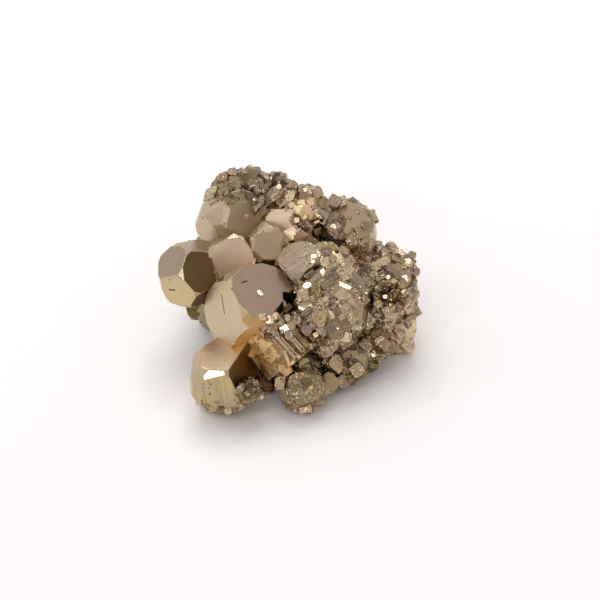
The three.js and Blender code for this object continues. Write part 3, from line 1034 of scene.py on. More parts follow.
lobes = {}
lobes["mosaic_lobe"] = {
    "host": {"at": (7, -2.5, 12.2), "size": 7.4, "top": (12, 48), "spin": 28, "habit": "blunt",
             "faces": [(66, 16, "brown"), (37, -11, "pale"), (54, 54, "plain")]},
    "studs": {"row": 0, "places": 62, "toward": (10, 35), "spread": 74, "sizes": (0.8, 1.8),
              "lean": 8},
    "over": {"toward": (10, 35), "spread": 85},
    "grains": [{**blocks, "places": 520, "bare": [(54, 54), (66, 16), (37, -11)]},
               {**glitter, "places": 3000, "sparkle": 0.35, "bare": [(66, 16), (37, -11)]}],
    "finishes": ("plain", "tan", "brown", "plain", "mauve", "lit"), "seed": 1,
}
lobes["right_top_lobe"] = {
    "host": {"at": (19.3, 5, 14.2), "size": 4, "top": (30, 60), "spin": 40, "habit": "blunt"},
    "studs": {**worn, "row": 1, "places": 16, "toward": (60, 45), "spread": 95, "sizes": (0.9, 1.6),
              "lean": 25},
    "over": {"toward": (30, 45), "spread": 110},
    "grains": [{**lumps, "places": 130, "sizes": (0.4, 1.1)}, {**glitter, "places": 260}],
    "material": smoothPyrite, "finishes": ("mauve", "plain", "soft"), "seed": 2,
}
lobes["right_lobe"] = {
    "host": {"at": (17.4, 2.4, 10.4), "size": 6.2, "top": (30, 50), "spin": 12, "habit": "round"},
    "studs": {**worn, "row": 2, "places": 26, "toward": (55, 5), "spread": 90, "sizes": (1, 1.9),
              "lean": 25},
    "over": {"toward": (30, 20), "spread": 110},
    "grains": [{**lumps, "places": 300, "sizes": (0.35, 1.0), "tones": (0.35, 1.1)},
               {**glitter, "places": 900}],
    "finishes": ("plain", "mauve", "brown", "tan"), "seed": 3,
}
lobes["right_foot"] = {
    "host": {"at": (18, 1.8, 5.3), "size": 5, "top": (70, 80), "spin": 35, "habit": "plain"},
    "studs": {**worn, "row": 3, "places": 16, "toward": (60, 15), "spread": 80, "sizes": (1, 1.8),
              "lean": 25},
    "over": {"toward": (30, 10), "spread": 100},
    "grains": [{**lumps, "places": 150, "sizes": (0.4, 1.1), "tones": (0.8, 1.5)},
               {**glitter, "places": 400}],
    "material": smoothPyrite, "finishes": ("lit", "plain", "tan"), "seed": 4,
}
# the two lower right lobes are darker: partly the crystals' own brown, partly painted shade low by
# the floor
lobes["lower_right_lobe"] = {
    "host": {"at": (10.8, -7.6, 4.7), "size": 4.1, "top": (20, 50), "spin": 40, "habit": "blunt"},
    "studs": {"row": 6, "places": 16, "toward": (20, 20), "spread": 80, "sizes": (1, 1.9),
              "lean": 12},
    "over": {"toward": (20, 20), "spread": 100},
    "grains": [{**blocks, "places": 160, "tones": (0.15, 0.85), "warmth": (0.65, 0.15)},
               {**glitter, "places": 500, "tones": (0.3, 1.1), "warmth": (0.65, 0.15)}],
    "finishes": ("brown", "umber", "dark", "dark"), "seed": 5,
}
lobes["lower_right_small_lobe"] = {
    "host": {"at": (14.8, -4.8, 4.4), "size": 3.4, "top": (60, 60), "spin": 10, "habit": "plain"},
    "studs": {**worn, "row": 7, "places": 13, "toward": (50, 20), "spread": 80, "sizes": (0.9, 1.7),
              "lean": 12},
    "over": {"toward": (40, 20), "spread": 100},
    "grains": [{**lumps, "places": 120, "tones": (0.15, 0.85), "warmth": (0.6, 0.15)},
               {**glitter, "places": 400, "tones": (0.3, 1.1), "warmth": (0.65, 0.15)}],
    "finishes": ("brown", "dark", "umber"), "seed": 6,
}
lobes["front_knob"] = {
    "host": {"at": (-7.9, -19.9, 6.8), "size": 1.9, "top": (30, 40), "spin": 10, "habit": "plain"},
    "studs": {"row": 5, "places": 12, "toward": (10, 30), "spread": 90, "sizes": (0.5, 0.9),
              "lean": 35},
    "over": {"toward": (10, 30), "spread": 110},
    "grains": [{**lumps, "places": 110, "sizes": (0.2, 0.5), "tones": (0.35, 1.1)},
               {**glitter, "places": 160}],
    "finishes": ("brown", "mauve", "dark"), "seed": 7,
}
lobes["small_knob"] = {
    "host": {"at": (-5.4, -19.5, 5.6), "size": 0.9, "top": (60, 40), "spin": 30,
             "habit": "round"},
    "grains": [{**glitter, "places": 60, "toward": (10, 30), "spread": 110}],
    "finishes": ("lit",), "seed": 8,
}
lobes["tiny_ball"] = {
    "host": {"at": (-4.9, -12.9, 18.8), "size": 0.8, "top": (0, 60), "spin": 0,
             "habit": "round", "corner": 0.04},
    "grains": [],
    "finishes": ("lit",), "seed": 9,
}
crest = {**lumps, "toward": (0, 60), "spread": 105, "sizes": (0.4, 1.3), "sink": (0.6, 0.9),
         "lean": 40, "shapes": (0, 1, 3), "tones": (0.35, 1.1), "warmth": (0.25, 0.15)}
lobes["crest_peak"] = {
    "host": {"at": (-8, 18.8, 23.7), "size": 3.5, "top": (20, 50), "spin": 25, "habit": "plain"},
    "studs": {**worn, "row": 8, "places": 14, "toward": (0, 60), "spread": 85, "sizes": (0.9, 1.6),
              "lean": 20},
    "grains": [{**crest, "places": 150}],
    "material": smoothPyrite, "finishes": ("brown", "mauve", "dusk"), "seed": 10,
}
lobes["crest_middle"] = {
    "host": {"at": (-2.7, 18, 22.2), "size": 3.8, "top": (-20, 60), "spin": 50, "habit": "plain"},
    "studs": {**worn, "row": 9, "places": 13, "toward": (0, 60), "spread": 85, "sizes": (0.9, 1.7),
              "lean": 20},
    "grains": [{**crest, "places": 150}, {**glitter, "places": 90, "toward": (0, 60),
                                          "spread": 100}],
    "material": smoothPyrite, "finishes": ("mauve", "brown", "dusk"), "seed": 11,
}
lobes["crest_right"] = {
    "host": {"at": (1.8, 16.2, 20), "size": 3.9, "top": (40, 55), "spin": 5, "habit": "plain"},
    "studs": {**worn, "row": 10, "places": 13, "toward": (20, 60), "spread": 85, "sizes": (0.9, 1.7),
              "lean": 20},
    "grains": [{**crest, "places": 150, "tones": (0.5, 1.3)},
               {**glitter, "places": 150, "toward": (20, 60), "spread": 100}],
    "material": smoothPyrite, "finishes": ("plain", "tan", "soft"), "seed": 12,
}
lobes["crest_left"] = {
    "host": {"at": (-11.7, 17, 25), "size": 2.6, "top": (-60, 70), "spin": 15, "habit": "plain"},
    "grains": [{**crest, "places": 110, "sizes": (0.3, 0.7)}],
    "material": smoothPyrite, "finishes": ("brown",), "seed": 13,
}
lobes["crest_ledge"] = {
    "host": {"at": (-7.4, 14.4, 23.6), "size": 2.3, "top": (10, 70), "spin": 30, "habit": "plain"},
    "grains": [{**crest, "places": 100}],
    "material": smoothPyrite, "finishes": ("mauve",), "seed": 14,
}
lobes["inner_lobe"] = {
    "host": {"at": (-1, 4.5, 9.5), "size": 9, "top": (20, 70), "spin": 30, "habit": "plain"},
    "over": {"toward": (30, 65), "spread": 60},
    "grains": [{**lumps, "places": 500, "sizes": (0.5, 1.2), "tones": (0.3, 1.0)},
               {**glitter, "places": 700, "tones": (0.3, 1.2)}],
    "finishes": ("brown",), "seed": 21,
}
lobes["rear_right_lobe"] = {
    "host": {"at": (11.4, 20, 13.5), "size": 4.9, "top": (20, 60), "spin": 10,
             "habit": "blunt", "corner": 0.4},
    "studs": {**worn, "row": 11, "places": 12, "toward": (90, 50), "spread": 75, "sizes": (0.9, 1.5),
              "lean": 15},
    "grains": [{**lumps, "places": 70, "toward": (60, 50), "spread": 100, "lean": 12,
                "tones": (0.85, 1.15)}],
    "material": smoothPyrite, "finishes": ("plain", "mauve"), "seed": 15,
}
lobes["rear_right_small"] = {
    "host": {"at": (8, 16.8, 16.2), "size": 2.6, "top": (50, 40), "spin": 10, "habit": "plain"},
    "grains": [{**lumps, "places": 160, "toward": (0, 50), "spread": 100}],
    "finishes": ("plain",), "seed": 16,
}
lobes["back_right_lobe"] = {
    "host": {"at": (10, 14.6, 7), "size": 6.6, "top": (120, 70), "spin": 25, "habit": "boxy"},
    "studs": {"row": 12, "places": 13, "toward": (150, 20), "spread": 80, "sizes": (1.6, 2.8),
              "lean": 12},
    "over": {"toward": (150, 20), "spread": 100},
    "grains": [{**blocks, "places": 400}, {**glitter, "places": 1200}],
    "finishes": ("plain", "tan", "mauve", "soft"), "seed": 17,
}
lobes["back_middle_lobe"] = {
    "host": {"at": (-2, 16.2, 13.2), "size": 6.6, "top": (160, 60), "spin": 35, "habit": "blunt"},
    "studs": {"row": 13, "places": 14, "toward": (180, 20), "spread": 80, "sizes": (1.6, 2.8),
              "lean": 10},
    "over": {"toward": (180, 20), "spread": 100},
    "grains": [{**blocks, "places": 300}, {**glitter, "places": 900}],
    "finishes": ("plain", "pale", "mauve"), "seed": 18,
}
lobes["back_left_studs"] = {
    "host": {"at": (-11.6, 12, 8.4), "size": 6.6, "top": (-20, 75), "spin": 15, "habit": "boxy"},
    "studs": {"row": 14, "places": 11, "toward": (-160, 20), "spread": 75, "sizes": (1.6, 2.6),
              "lean": 12},
    "over": {"toward": (-160, 20), "spread": 90},
    "grains": [{**blocks, "places": 240}, {**glitter, "places": 700}],
    "finishes": ("plain", "soft", "tan"), "seed": 19,
}


# The front ball: round terraces shrink as they rise on its upper face

ballHost = {"at": (2.4, -15.6, 4.2), "size": 4.1, "top": (-4, 37), "spin": 20,
            "habit": "round"}
ballTerraces = {"widths": (0.62, 0.44, 0.24), "rise": 0.22, "sides": 9, "squeeze": 0.75,
                "depth": 2, "edge": 0.07, "drift": (-0.5, 0.2),
                "finishes": ("brown", "plain", "dark")}


def makeTerraces(host, terraces):
    discs = []
    for level, width in enumerate(terraces["widths"]):
        radius = host["size"] * width
        deselectAll()
        bpy.ops.mesh.primitive_cylinder_add(vertices=terraces["sides"], radius=radius,
                                            depth=terraces["depth"])
        disc = bpy.context.object
        bevelEdges(disc, terraces["edge"])
        markFaces(disc, turnOf(host), {"finish": terraces["finishes"][level]}, level)
        driftX, driftY = terraces["drift"]
        height = host["size"] + terraces["rise"] * (level + 1) - terraces["depth"] / 2
        middle = Vector((driftX * level, driftY * level, height))
        place(disc, Matrix.Translation(host["at"]) @ turnOf(host).to_4x4()
              @ Matrix.Translation(middle) @ Matrix.Diagonal((1, terraces["squeeze"], 1, 1)))
        discs.append(disc)
    return discs


lobes["front_ball"] = {
    "host": ballHost,
    "studs": {"row": 4, "places": 16, "toward": (30, 10), "spread": 90, "sizes": (0.7, 1.2),
              "lean": 15},
    "extras": makeTerraces(ballHost, ballTerraces),
    "over": {"toward": (30, 0), "spread": 100},
    "grains": [{**lumps, "places": 130, "sizes": (0.2, 0.4),
                "sink": (0.8, 1.1), "tones": (0.2, 1.2), "warmth": (0.5, 0.15)},
               {**glitter, "places": 300, "tones": (0.2, 1.5)}],
    "finishes": ("brown", "dark", "lit"), "seed": 20,
}
lobePieces = [growLobe(name, lobe) for name, lobe in lobes.items()]
around = treeOf(smoothPieces + lobePieces)
print("lobes grown")
for surface, lobe in zip(lobePieces, lobes.values()):
    finishPiece(growGrains(surface, lobe, around), lobe.get("material", drusePyrite))
print("grains grown")


# Grains on parts of the smooth crystals, and specks along their edges

patches = {
    "rear_left_lumps": {"on": "rear_left_crystal", "seed": 41, "grains": {
        **crest, "places": 450, "toward": (60, 66), "spread": 48,
        "bare": [(40, 35), (-34, 49), (-92, 44), (-25, 11)]}},
    "step_lumps": {"on": "stepped_crystal", "seed": 43, "grains": {
        **lumps, "places": 700, "toward": (-10, 80), "spread": 34, "sizes": (0.2, 0.55),
        "shapes": (0, 3), "sparkle": 0.15, "tones": (0.4, 1.4)}},
    "ridge_glitter": {"on": "ridge_crystal", "seed": 42, "grains": {
        **glitter, "places": 500, "toward": (80, 50), "spread": 42, "patch": (1, -2)}},
}
specks = {"places": 102, "sizes": (0.06, 0.26), "tones": (0.6, 1.3), "lean": 30,
          "patch": (0.4, 0.05), "sink": 0.6, "reach": 1.6, "finish": (0.4, 0.1, 0.0)}


def specksOn(piece, look, seed, around):
    draw = random.Random(seed)
    mesh = piece.data
    found = []
    spans = [[mesh.vertices[index] for index in edge.vertices] for edge in mesh.edges]
    lengths = [(first.co - last.co).length for first, last in spans]
    for first, last in draw.choices(spans, lengths, k=look["places"]):
        point = first.co.lerp(last.co, draw.random())
        normal = (first.normal + last.normal).normalized()
        size = draw.uniform(*look["sizes"])
        tone, turn = draw.uniform(*look["tones"]), leaning(look["lean"], draw.uniform)
        shape = draw.choice(grainShapes)
        scale, level = look["patch"]
        if noise.noise(point * scale) < level or buried(around, point, normal):
            continue
        if inBox(point, size * look["reach"]):
            found.append(addGrain(shape, point - normal * size * look["sink"], turn,
                                  (size, size, size), (tone, *look["finish"])))
    return found


patchHosts = {**smoothCrystals, "stepped_crystal": stepped}
smoothNamed = {piece.name: piece for piece in smoothPieces}
for name, patch in patches.items():
    grown = grainsOn(smoothNamed[patch["on"]], patchHosts[patch["on"]], patch["grains"],
                     patch["seed"], around)
    finishPiece(joinAll(grown, name), drusePyrite)
for seed, piece in enumerate(smoothPieces):
    name = piece.name
    # painted shade in the crevices of the smooth crystals
    paintCreviceShade(piece, around, occlusionShadeLook["smooth"])
    finishPiece(joinAll([piece] + specksOn(piece, specks, seed, around), name),
                raggedPyrite if name == "stepped_crystal" else smoothPyrite)
print("specks grown")


# Single crystals that stand out in the photo: place on the surface, size, direction of the top
# face, spin and finish, and the stretch and habit of those that aren't plain and a little flat.
# Their finishes paint light and shade as a face's finish does: the white, lit, yellow and plate
# ones are painted light, the umber and dark ones painted shade. A crystal's number in the list
# is its seed.

accents = [
    # mosaic lobe
    ((8.6, -2.3, 21.3), 1.05, (12, 48), 28, "tan", (1, 1.15, 0.7)),
    ((5.2, -1.0, 21.1), 0.76, (-6, 50), 10, "bright", (1, 1, 0.7)),
    ((6.2, -3.3, 21.6), 0.48, (-6, 50), 40, "bright", (1, 1, 0.8), "cube"),
    ((4.4, -2.0, 22.8), 0.38, (-48, 55), 0, "bright", (1, 1, 1), "cube"),
    ((11.7, 8.7, 14.6), 0.95, (30, 45), 15, "lit"),
    ((3.3, -5.6, 20.2), 0.67, (-6, 50), 25, "pink", (1.2, 0.8, 0.8)),
    ((10.3, -4.9, 19.5), 0.67, (-6, 50), -20, "bright", (1.8, 0.6, 0.6), "cube"),
    ((2.6, -7.2, 19.2), 1.14, (-20, 30), 20, "tan"),
    ((1.6, -9.4, 15.4), 1.33, (20, 42), 25, "mauve", (1, 0.8, 0.6), "round"),
    ((5.5, -9.9, 16.0), 1.24, (12, 48), 30, "tan", (1, 1, 0.7)),
    ((7.7, -9.2, 16.1), 0.86, (-28, 36), 15, "lit", (1, 0.9, 0.7)),
    ((9.4, -10.3, 14.9), 1.81, (25, 42), 38, "brown", (1, 0.9, 0.45)),
    ((11.2, -9.2, 15.4), 1.14, (0, 38), 30, "tan", (1, 1, 0.6)),
    ((9.6, -11.7, 13.2), 1.33, (-35, 36), 10, "lit", (1.1, 0.7, 0.7)),
    ((12.2, -9.4, 11.6), 0.67, (-32, 32), 60, "lit", (1.7, 0.7, 0.8), "cube"),
    ((13.3, -8.8, 12.6), 0.57, (-32, 36), 65, "pale", (1.9, 0.7, 0.8), "cube"),
    ((6.6, -11.5, 9.2), 1.43, (-2, 22), 20, "mauve", (1, 1, 0.6), "blunt"),
    ((3.8, -8.9, 17.5), 0.76, (-10, 42), 35, "tan"),
    ((6.8, -5.7, 20.1), 0.57, (-6, 50), 15, "tan", (1, 1, 0.8), "cube"),
    ((7.2, -3.9, 20.9), 0.76, (12, 48), 15, "plain", (1.2, 1, 0.7)),
    ((10.3, -7.2, 17.4), 1.14, (12, 48), 30, "plain", (1.2, 1, 0.45)),
    ((12.5, -7.4, 16.8), 0.67, (50, 50), 30, "lit", (0.8, 1.8, 0.5), "cube"),
    ((8.1, -8.2, 16.9), 0.67, (-6, 50), 35, "pale", (1, 0.8, 0.8)),
    ((2.4, -9.2, 17.6), 0.48, (-48, 55), 10, "bright", (1.6, 0.6, 0.8), "cube"),
    ((4.9, -11.8, 13.5), 0.48, (-6, 50), 30, "gold", (1, 1, 1), "cube"),
    ((3.8, -12.8, 11.6), 0.57, (-20, 30), 10, "gold", (1, 1, 1)),
    ((6.6, -1.4, 22.4), 0.86, (-6, 50), 20, "lit", (1, 1, 0.5)),
    ((8.1, -0.5, 22.6), 0.76, (10, 55), 40, "tan", (1, 1, 0.5)),
    ((9.6, -1.2, 21.2), 0.86, (-10, 45), 10, "lit", (1, 1, 0.5)),
    ((11.7, 8.5, 14.5), 0.67, (0, 50), 30, "white", (1, 1, 0.5), "cube"),
    ((10.7, -3.3, 20.8), 0.86, (10, 50), 15, "lit", (1, 1, 0.5)),
    ((8.7, -3.2, 21.2), 0.67, (-6, 50), 25, "lit", (1, 1, 0.5), "cube"),
    ((13.0, 7.8, 13.0), 0.76, (20, 50), 35, "white", (1, 1, 0.5)),
    ((7.4, -2.1, 21.5), 0.57, (-6, 50), 5, "bright", (1, 1, 0.5), "cube"),
    # above the mosaic lobe, and low on the rear right
    ((5.4, 6.3, 18.9), 1.52, (10, 55), 20, "plain", (1.2, 0.9, 0.7)),
    ((8.0, 11.6, 15.2), 1.33, (20, 50), 35, "tan", (1, 1, 0.7)),
    ((10.4, 11.6, 14.4), 1.33, (25, 55), 15, "plain", (1, 1.1, 0.7), "blunt"),
    ((6.9, 5.0, 18.3), 1.14, (12, 48), 30, "mauve", (1.1, 1, 0.7)),
    ((9.1, -0.4, 22.3), 0.95, (0, 50), 30, "lit"),
    ((4.6, -0.7, 23.0), 0.57, (-6, 50), 20, "bright"),
    ((8.3, 5.8, 18.4), 0.48, (-6, 50), 45, "bright", (1, 1, 0.8), "cube"),
    ((6.2, 7.7, 19.3), 0.76, (-20, 60), 20, "lit", (1.4, 0.8, 0.6)),
    ((12.7, 14.1, 15.5), 1.71, (25, 45), 10, "plain", (1.1, 1, 0.7), "round"),
    ((15.1, 14.2, 14.7), 1.43, (50, 40), 20, "soft", (1, 1, 0.8), "blunt"),
    ((11.0, 14.0, 14.0), 1.14, (0, 60), 20, "tan"),
    ((14.6, 12.0, 14.9), 0.76, (0, 45), 20, "dark", (1, 1, 0.9), "blunt"),
    # pit
    ((19.4, 2.1, 17.4), 0.86, (28, 46), 25, "mauve", (0.9, 2, 0.6)),
    ((21.4, 3.9, 17.7), 0.86, (25, 44), 20, "tan", (1, 1.2, 0.7)),
    ((21.8, 1.2, 16.2), 0.67, (-6, 50), 30, "bright", (1, 1.2, 0.7)),
    ((18.5, -1.3, 18.7), 0.38, (-6, 50), 20, "bright", (1, 1, 1)),
    ((21.5, -3.1, 16.5), 0.57, (24, 25), 20, "bright", (1, 1.1, 0.9)),
    ((22.2, -2.6, 13.2), 1.24, (40, 30), 20, "tan", (1, 1.5, 0.8), "blunt"),
    ((18.0, -2.4, 14.8), 0.38, (-6, 50), 20, "pink", (1, 1, 1), "cube"),
    ((19.0, -4.7, 14.7), 0.38, (24, 25), 0, "bright", (1, 1, 1), "cube"),
    ((17.5, 2.8, 19.0), 0.76, (-10, 48), 20, "lit", (1.2, 1, 0.8)),
    # between the right lobe and its foot
    ((14.9, -5.0, 8.2), 1.14, (20, 40), 20, "umber", (1, 1, 0.7)),
    ((16.4, -5.3, 8.0), 1.05, (10, 45), 40, "dark", (1, 1, 0.7)),
    ((17.9, -4.5, 7.6), 1.24, (20, 40), 10, "dark", (1, 1, 0.7)),
    ((19.6, -3.2, 6.2), 1.05, (30, 40), 30, "soft", (1, 1, 0.7)),
    ((21.0, -2.6, 5.2), 1.24, (40, 35), 15, "tan", (1, 1, 0.7)),
    ((17.1, -6.5, 7.1), 1.14, (20, 30), 25, "plain", (1, 1, 0.7)),
    ((22.9, -1.8, 2.2), 1.33, (45, 30), 20, "lit", (1, 1, 0.7)),
    # lower right
    ((8.9, -11.9, 6.6), 1.52, (25, 45), 35, "tan"),
    ((11.3, -11.3, 7.6), 1.24, (10, 40), 30, "brown", (0.9, 1.1, 0.8)),
    ((14.4, -8.6, 8.2), 1.33, (40, 35), 20, "brown", (0.9, 1.1, 0.8), "blunt"),
    ((15.6, -8.9, 6.2), 0.67, (-6, 50), 20, "bright"),
    ((12.6, -13.2, 6.1), 1.24, (20, 35), 25, "tan"),
    ((10.4, -12.8, 3.2), 1.43, (10, 25), 30, "brown", (1.1, 0.9, 0.8)),
    ((15.1, -5.5, 8.0), 0.57, (-6, 50), 0, "dark", (1, 1, 0.8), "cube"),
    ((18.1, -6.9, 6.7), 0.95, (45, 40), 20, "pale", (1.2, 1, 0.6)),
    ((21.1, -2.7, 6.8), 1.24, (50, 35), 10, "tan", (1, 1.2, 0.6), "blunt"),
    ((22.6, -2.6, 8.7), 0.76, (60, 30), 10, "brown", (1, 1.4, 0.6)),
    # crest
    ((-8.1, 9.9, 24.3), 0.48, (24, 25), 0, "bright", (1, 1, 0.5), "round"),
    ((-14.6, 15.0, 26.9), 0.76, (-40, 45), 20, "plain", (1.1, 1, 0.8)),
    ((-15.1, 15.5, 26.9), 0.33, (-48, 55), 20, "bright", (1, 1, 1), "cube"),
    ((-8.6, 18.7, 28.5), 0.57, (-10, 45), 20, "brown", (1.2, 1, 0.8), "round"),
    ((-7.0, 12.7, 26.3), 0.57, (-6, 50), 20, "bright", (1.3, 0.8, 0.8), "round"),
    ((-3.6, 18.7, 26.8), 0.57, (-6, 50), 20, "bright", (1, 1, 0.8), "round"),
    ((-2.0, 16.1, 26.8), 0.48, (-6, 50), 40, "lit"),
    ((0.3, 16.6, 26.4), 1.14, (35, 52), 20, "plain", (1.3, 0.8, 0.6)),
    ((3.0, 17.6, 25.0), 0.38, (-6, 50), 20, "bright", (1, 1, 1), "cube"),
    ((-0.1, 15.0, 25.5), 0.48, (-6, 50), 0, "lit", (1, 1, 1), "cube"),
    ((-10.0, 15.3, 27.6), 1.14, (10, 50), 20, "brown", (1.2, 0.9, 0.8), "round"),
    ((-13.0, 17.6, 27.9), 1.14, (-40, 50), 20, "brown", (1, 1, 0.8), "round"),
    ((-11.1, 18.5, 28.6), 0.95, (-20, 50), 20, "mauve", (1, 1, 0.8), "round"),
    ((-5.3, 16.6, 25.7), 0.95, (20, 50), 0, "mauve", (1, 1, 0.8), "round"),
    ((2.3, 14.1, 24.2), 0.8, (-6, 50), 20, "yellow", (1, 1, 1)),
    ((3.3, 12.8, 23.7), 0.9, (30, 45), 30, "yellow", (1, 1, 1)),
    ((1.5, 11.6, 24.6), 0.8, (-48, 55), 15, "yellow", (1, 1, 1), "cube"),
    ((3.9, 14.7, 24.2), 0.7, (24, 25), 15, "yellow", (1, 1, 1), "cube"),
    ((2.7, 11.9, 22.9), 0.8, (-6, 50), 45, "yellow", (1, 1, 1), "blunt"),
    ((0.4, 13.2, 24.6), 0.6, (10, 60), 30, "yellow", (1, 1, 1)),
    ((4.4, 12.7, 22.6), 0.8, (10, 30), 10, "yellow", (1, 1, 1), "cube"),
    ((5.1, 12.1, 21.8), 0.6, (-20, 45), 35, "yellow", (1, 1, 1)),
    ((1.4, 10.0, 23.4), 0.5, (0, 50), 5, "bright", (1, 1, 1), "cube"),
    ((2.0, 12.8, 24.4), 0.5, (24, 25), 0, "bright", (1, 1, 1), "cube"),
    ((4.5, 13.6, 22.2), 0.48, (-6, 50), 15, "bright", (1, 1, 1), "cube"),
    ((1.2, 14.4, 24.0), 0.48, (20, 50), 15, "gold", (1, 1, 1), "cube"),
    ((8.4, 14.7, 18.2), 0.57, (24, 25), 10, "bright", (1, 1.2, 0.8)),
    ((-15.3, 16.8, 24.3), 1.3, (-50, 40), 20, "soft", (1, 1, 0.7)),
    ((6.6, 16.3, 22.8), 1.1, (20, 50), 20, "brown"),
    ((8.7, 18.8, 21.4), 1.2, (20, 50), 40, "mauve"),
    ((10.2, 19.6, 20.8), 1.0, (0, 50), 20, "plain"),
    ((5.2, 17.5, 20.5), 1.3, (10, 40), 35, "brown"),
    # plates on the stepped crystal
    ((-7.2, -11.6, 13.1), 1.5, (-32, 24), -33, "amber", (1, 0.8, 0.3), "cube"),
    ((-5.9, -12.6, 11.5), 1.8, (-28, 22), -30, "amber", (1, 0.9, 0.3)),
    ((-4.8, -13.2, 13.4), 1.8, (-30, 28), -35, "leaf", (1, 0.8, 0.25), "cube"),
    ((-2.4, -14.9, 12.4), 1.3, (-30, 28), -30, "leaf", (1, 0.8, 0.25)),
    ((-3.9, -14.0, 11.3), 2.0, (-30, 25), -35, "leaf", (1, 0.8, 0.3)),
    ((-3.2, -14.7, 8.9), 2.0, (-33, 27), -31, "leaf", (1, 0.8, 0.35), "cube"),
    ((-0.9, -16.2, 9.1), 1.4, (-27, 26), -36, "leaf", (1, 0.8, 0.35)),
    ((-4.8, -13.5, 9.6), 1.2, (-36, 20), -20, "amber", (1, 0.8, 0.4)),
    ((-3.8, -14.5, 6.2), 1, (-35, 18), -25, "leaf", (0.8, 1, 0.4)),
    # above the bars
    ((-4.6, -13.0, 16.9), 0.86, (20, 50), 20, "mauve"),
    ((-3.5, -13.0, 18.2), 0.76, (-6, 50), 10, "lit"),
    ((-3.1, -12.9, 15.9), 0.95, (40, 55), 45, "tan"),
    ((-1.8, -11.5, 16.2), 0.86, (0, 60), 30, "pale"),
    ((-0.9, -12.3, 15.4), 0.76, (24, 25), 15, "bright", (1, 1, 0.8), "cube"),
    ((-1.5, -13.0, 14.5), 0.95, (60, 57), 20, "brown"),
    ((-0.4, -10.7, 16.7), 0.76, (-20, 50), 50, "mauve", (1, 1, 0.8), "blunt"),
    ((0.3, -10.8, 14.8), 0.86, (30, 45), 10, "lit"),
    ((-4.0, -13.6, 15.3), 0.67, (-30, 50), 30, "umber"),
    ((-2.4, -11.9, 18.2), 0.67, (-6, 50), 40, "brown"),
    ((-0.0, -13.3, 14.6), 0.76, (10, 50), 25, "mauve"),
    ((1.3, -9.8, 15.4), 0.86, (10, 45), 5, "pale"),
    # rim of the pit
    ((16.3, 2.3, 18.4), 0.86, (0, 45), 20, "tan"),
    ((15.4, 0.2, 17.5), 0.76, (-10, 40), 40, "brown"),
    ((15.5, -1.8, 15.5), 0.86, (20, 40), 10, "plain", (1, 1, 0.8), "blunt"),
    ((16.6, -5.0, 15.2), 0.76, (10, 50), 30, "tan"),
    ((18.2, -5.8, 14.2), 0.86, (20, 40), 15, "mauve"),
    ((20.3, -5.0, 14.7), 0.76, (40, 40), 25, "brown"),
    ((18.3, 3.8, 18.5), 0.76, (20, 50), 35, "lit"),
    ((20.4, 2.9, 17.5), 0.86, (30, 45), 5, "plain"),
    ((21.3, -2.0, 17.6), 0.86, (35, 40), 20, "soft"),
    # foot of the front left crystal
    ((-16.5, -21.0, 5.2), 0.57, (-30, 30), 20, "pale"),
    ((-15.2, -21.1, 4.6), 0.48, (-10, 40), 40, "brown"),
    ((-14.0, -21.2, 3.9), 0.67, (0, 30), 10, "pale"),
    ((-12.5, -21.3, 4.3), 0.48, (10, 40), 30, "umber"),
    ((-11.2, -21.4, 3.4), 0.67, (0, 35), 15, "lit"),
    ((-9.9, -21.5, 4.0), 0.57, (20, 40), 25, "brown"),
    ((-8.8, -21.6, 4.8), 0.67, (30, 35), 5, "pale"),
    ((-13.2, -21.2, 5.4), 0.38, (0, 40), 50, "brown", (1, 1, 0.8), "cube"),
    # in the shade under the stepped crystal: dark crystals whose dark finish is painted shade
    ((-5.6, -11.9, 2.8), 1.7, (0, 40), 20, "umber", (1, 1, 1)),
    ((-4.4, -11.4, 3.4), 1.6, (20, 50), 45, "umber", (1, 1, 1)),
    ((-4.2, -12.9, 1.9), 1.2, (-20, 45), 10, "umber", (1, 1, 1), "blunt"),
    # lower edge of the stepped crystal
    ((-5.9, -13.6, 9.6), 0.7, (60, 30), 50, "brown", (0.8, 1, 1)),
    ((-5.3, -12.8, 8.3), 0.9, (60, 57), 20, "olive", (0.8, 1, 1.2)),
    ((-4.3, -13.3, 6.9), 0.8, (40, 50), 10, "olive", (0.8, 1, 1.2)),
    ((-0.6, -15.9, 8.2), 0.8, (60, 50), 20, "straw", (1.2, 1, 0.8)),
    # left
    ((-17.9, 0.5, 9.7), 1.8, (-40, 40), 45, "umber", (1, 1, 1)),
    ((-5.3, -8.2, 20.6), 0.67, (90, 57), 20, "bright", (1, 0.9, 0.25)),
    ((-8.0, 2.0, 19.9), 1.14, (-25, 40), 10, "gold", (1.6, 0.8, 0.5)),
    ((-12.4, 3.1, 23.4), 0.48, (24, 25), 20, "bright", (1.2, 0.8, 0.5), "cube"),
]


accentUsual = {"sink": 0.6, "edge": 0.07}  # for a size of 1


def growAccent(seed, spot, size, top, spin, finish, stretch=(1, 1, 0.8), habit="plain"):
    middle = Vector(spot) - direction(*top) * size * stretch[2] * accentUsual["sink"]
    piece = shapeCrystal("accent", {
        "at": middle, "size": size, "top": top, "spin": spin, "stretch": stretch,
        "finish": finish, "habit": habit, "edge": accentUsual["edge"] * size, "seed": seed})
    cutGround(piece)
    return piece


accentPieces = {  # material, and the finishes that go to the piece; the last takes the others
    "glint_crystals": (smoothPyrite, ("bright", "pink", "yellow")),
    "step_plates": (raggedPyrite, ("olive", "leaf", "amber")),
    "single_crystals": (drusePyrite, finishes),
}
ungrown = [(seed, *accent) for seed, accent in enumerate(accents)]
for name, (material, wanted) in accentPieces.items():
    now = [accent for accent in ungrown if accent[5] in wanted]
    ungrown = [accent for accent in ungrown if accent not in now]
    finishPiece(joinAll([growAccent(*accent) for accent in now], name), material)
print("single crystals grown")


# The crust of the pit: a rough bowl, and small dark crystals turned every way on it

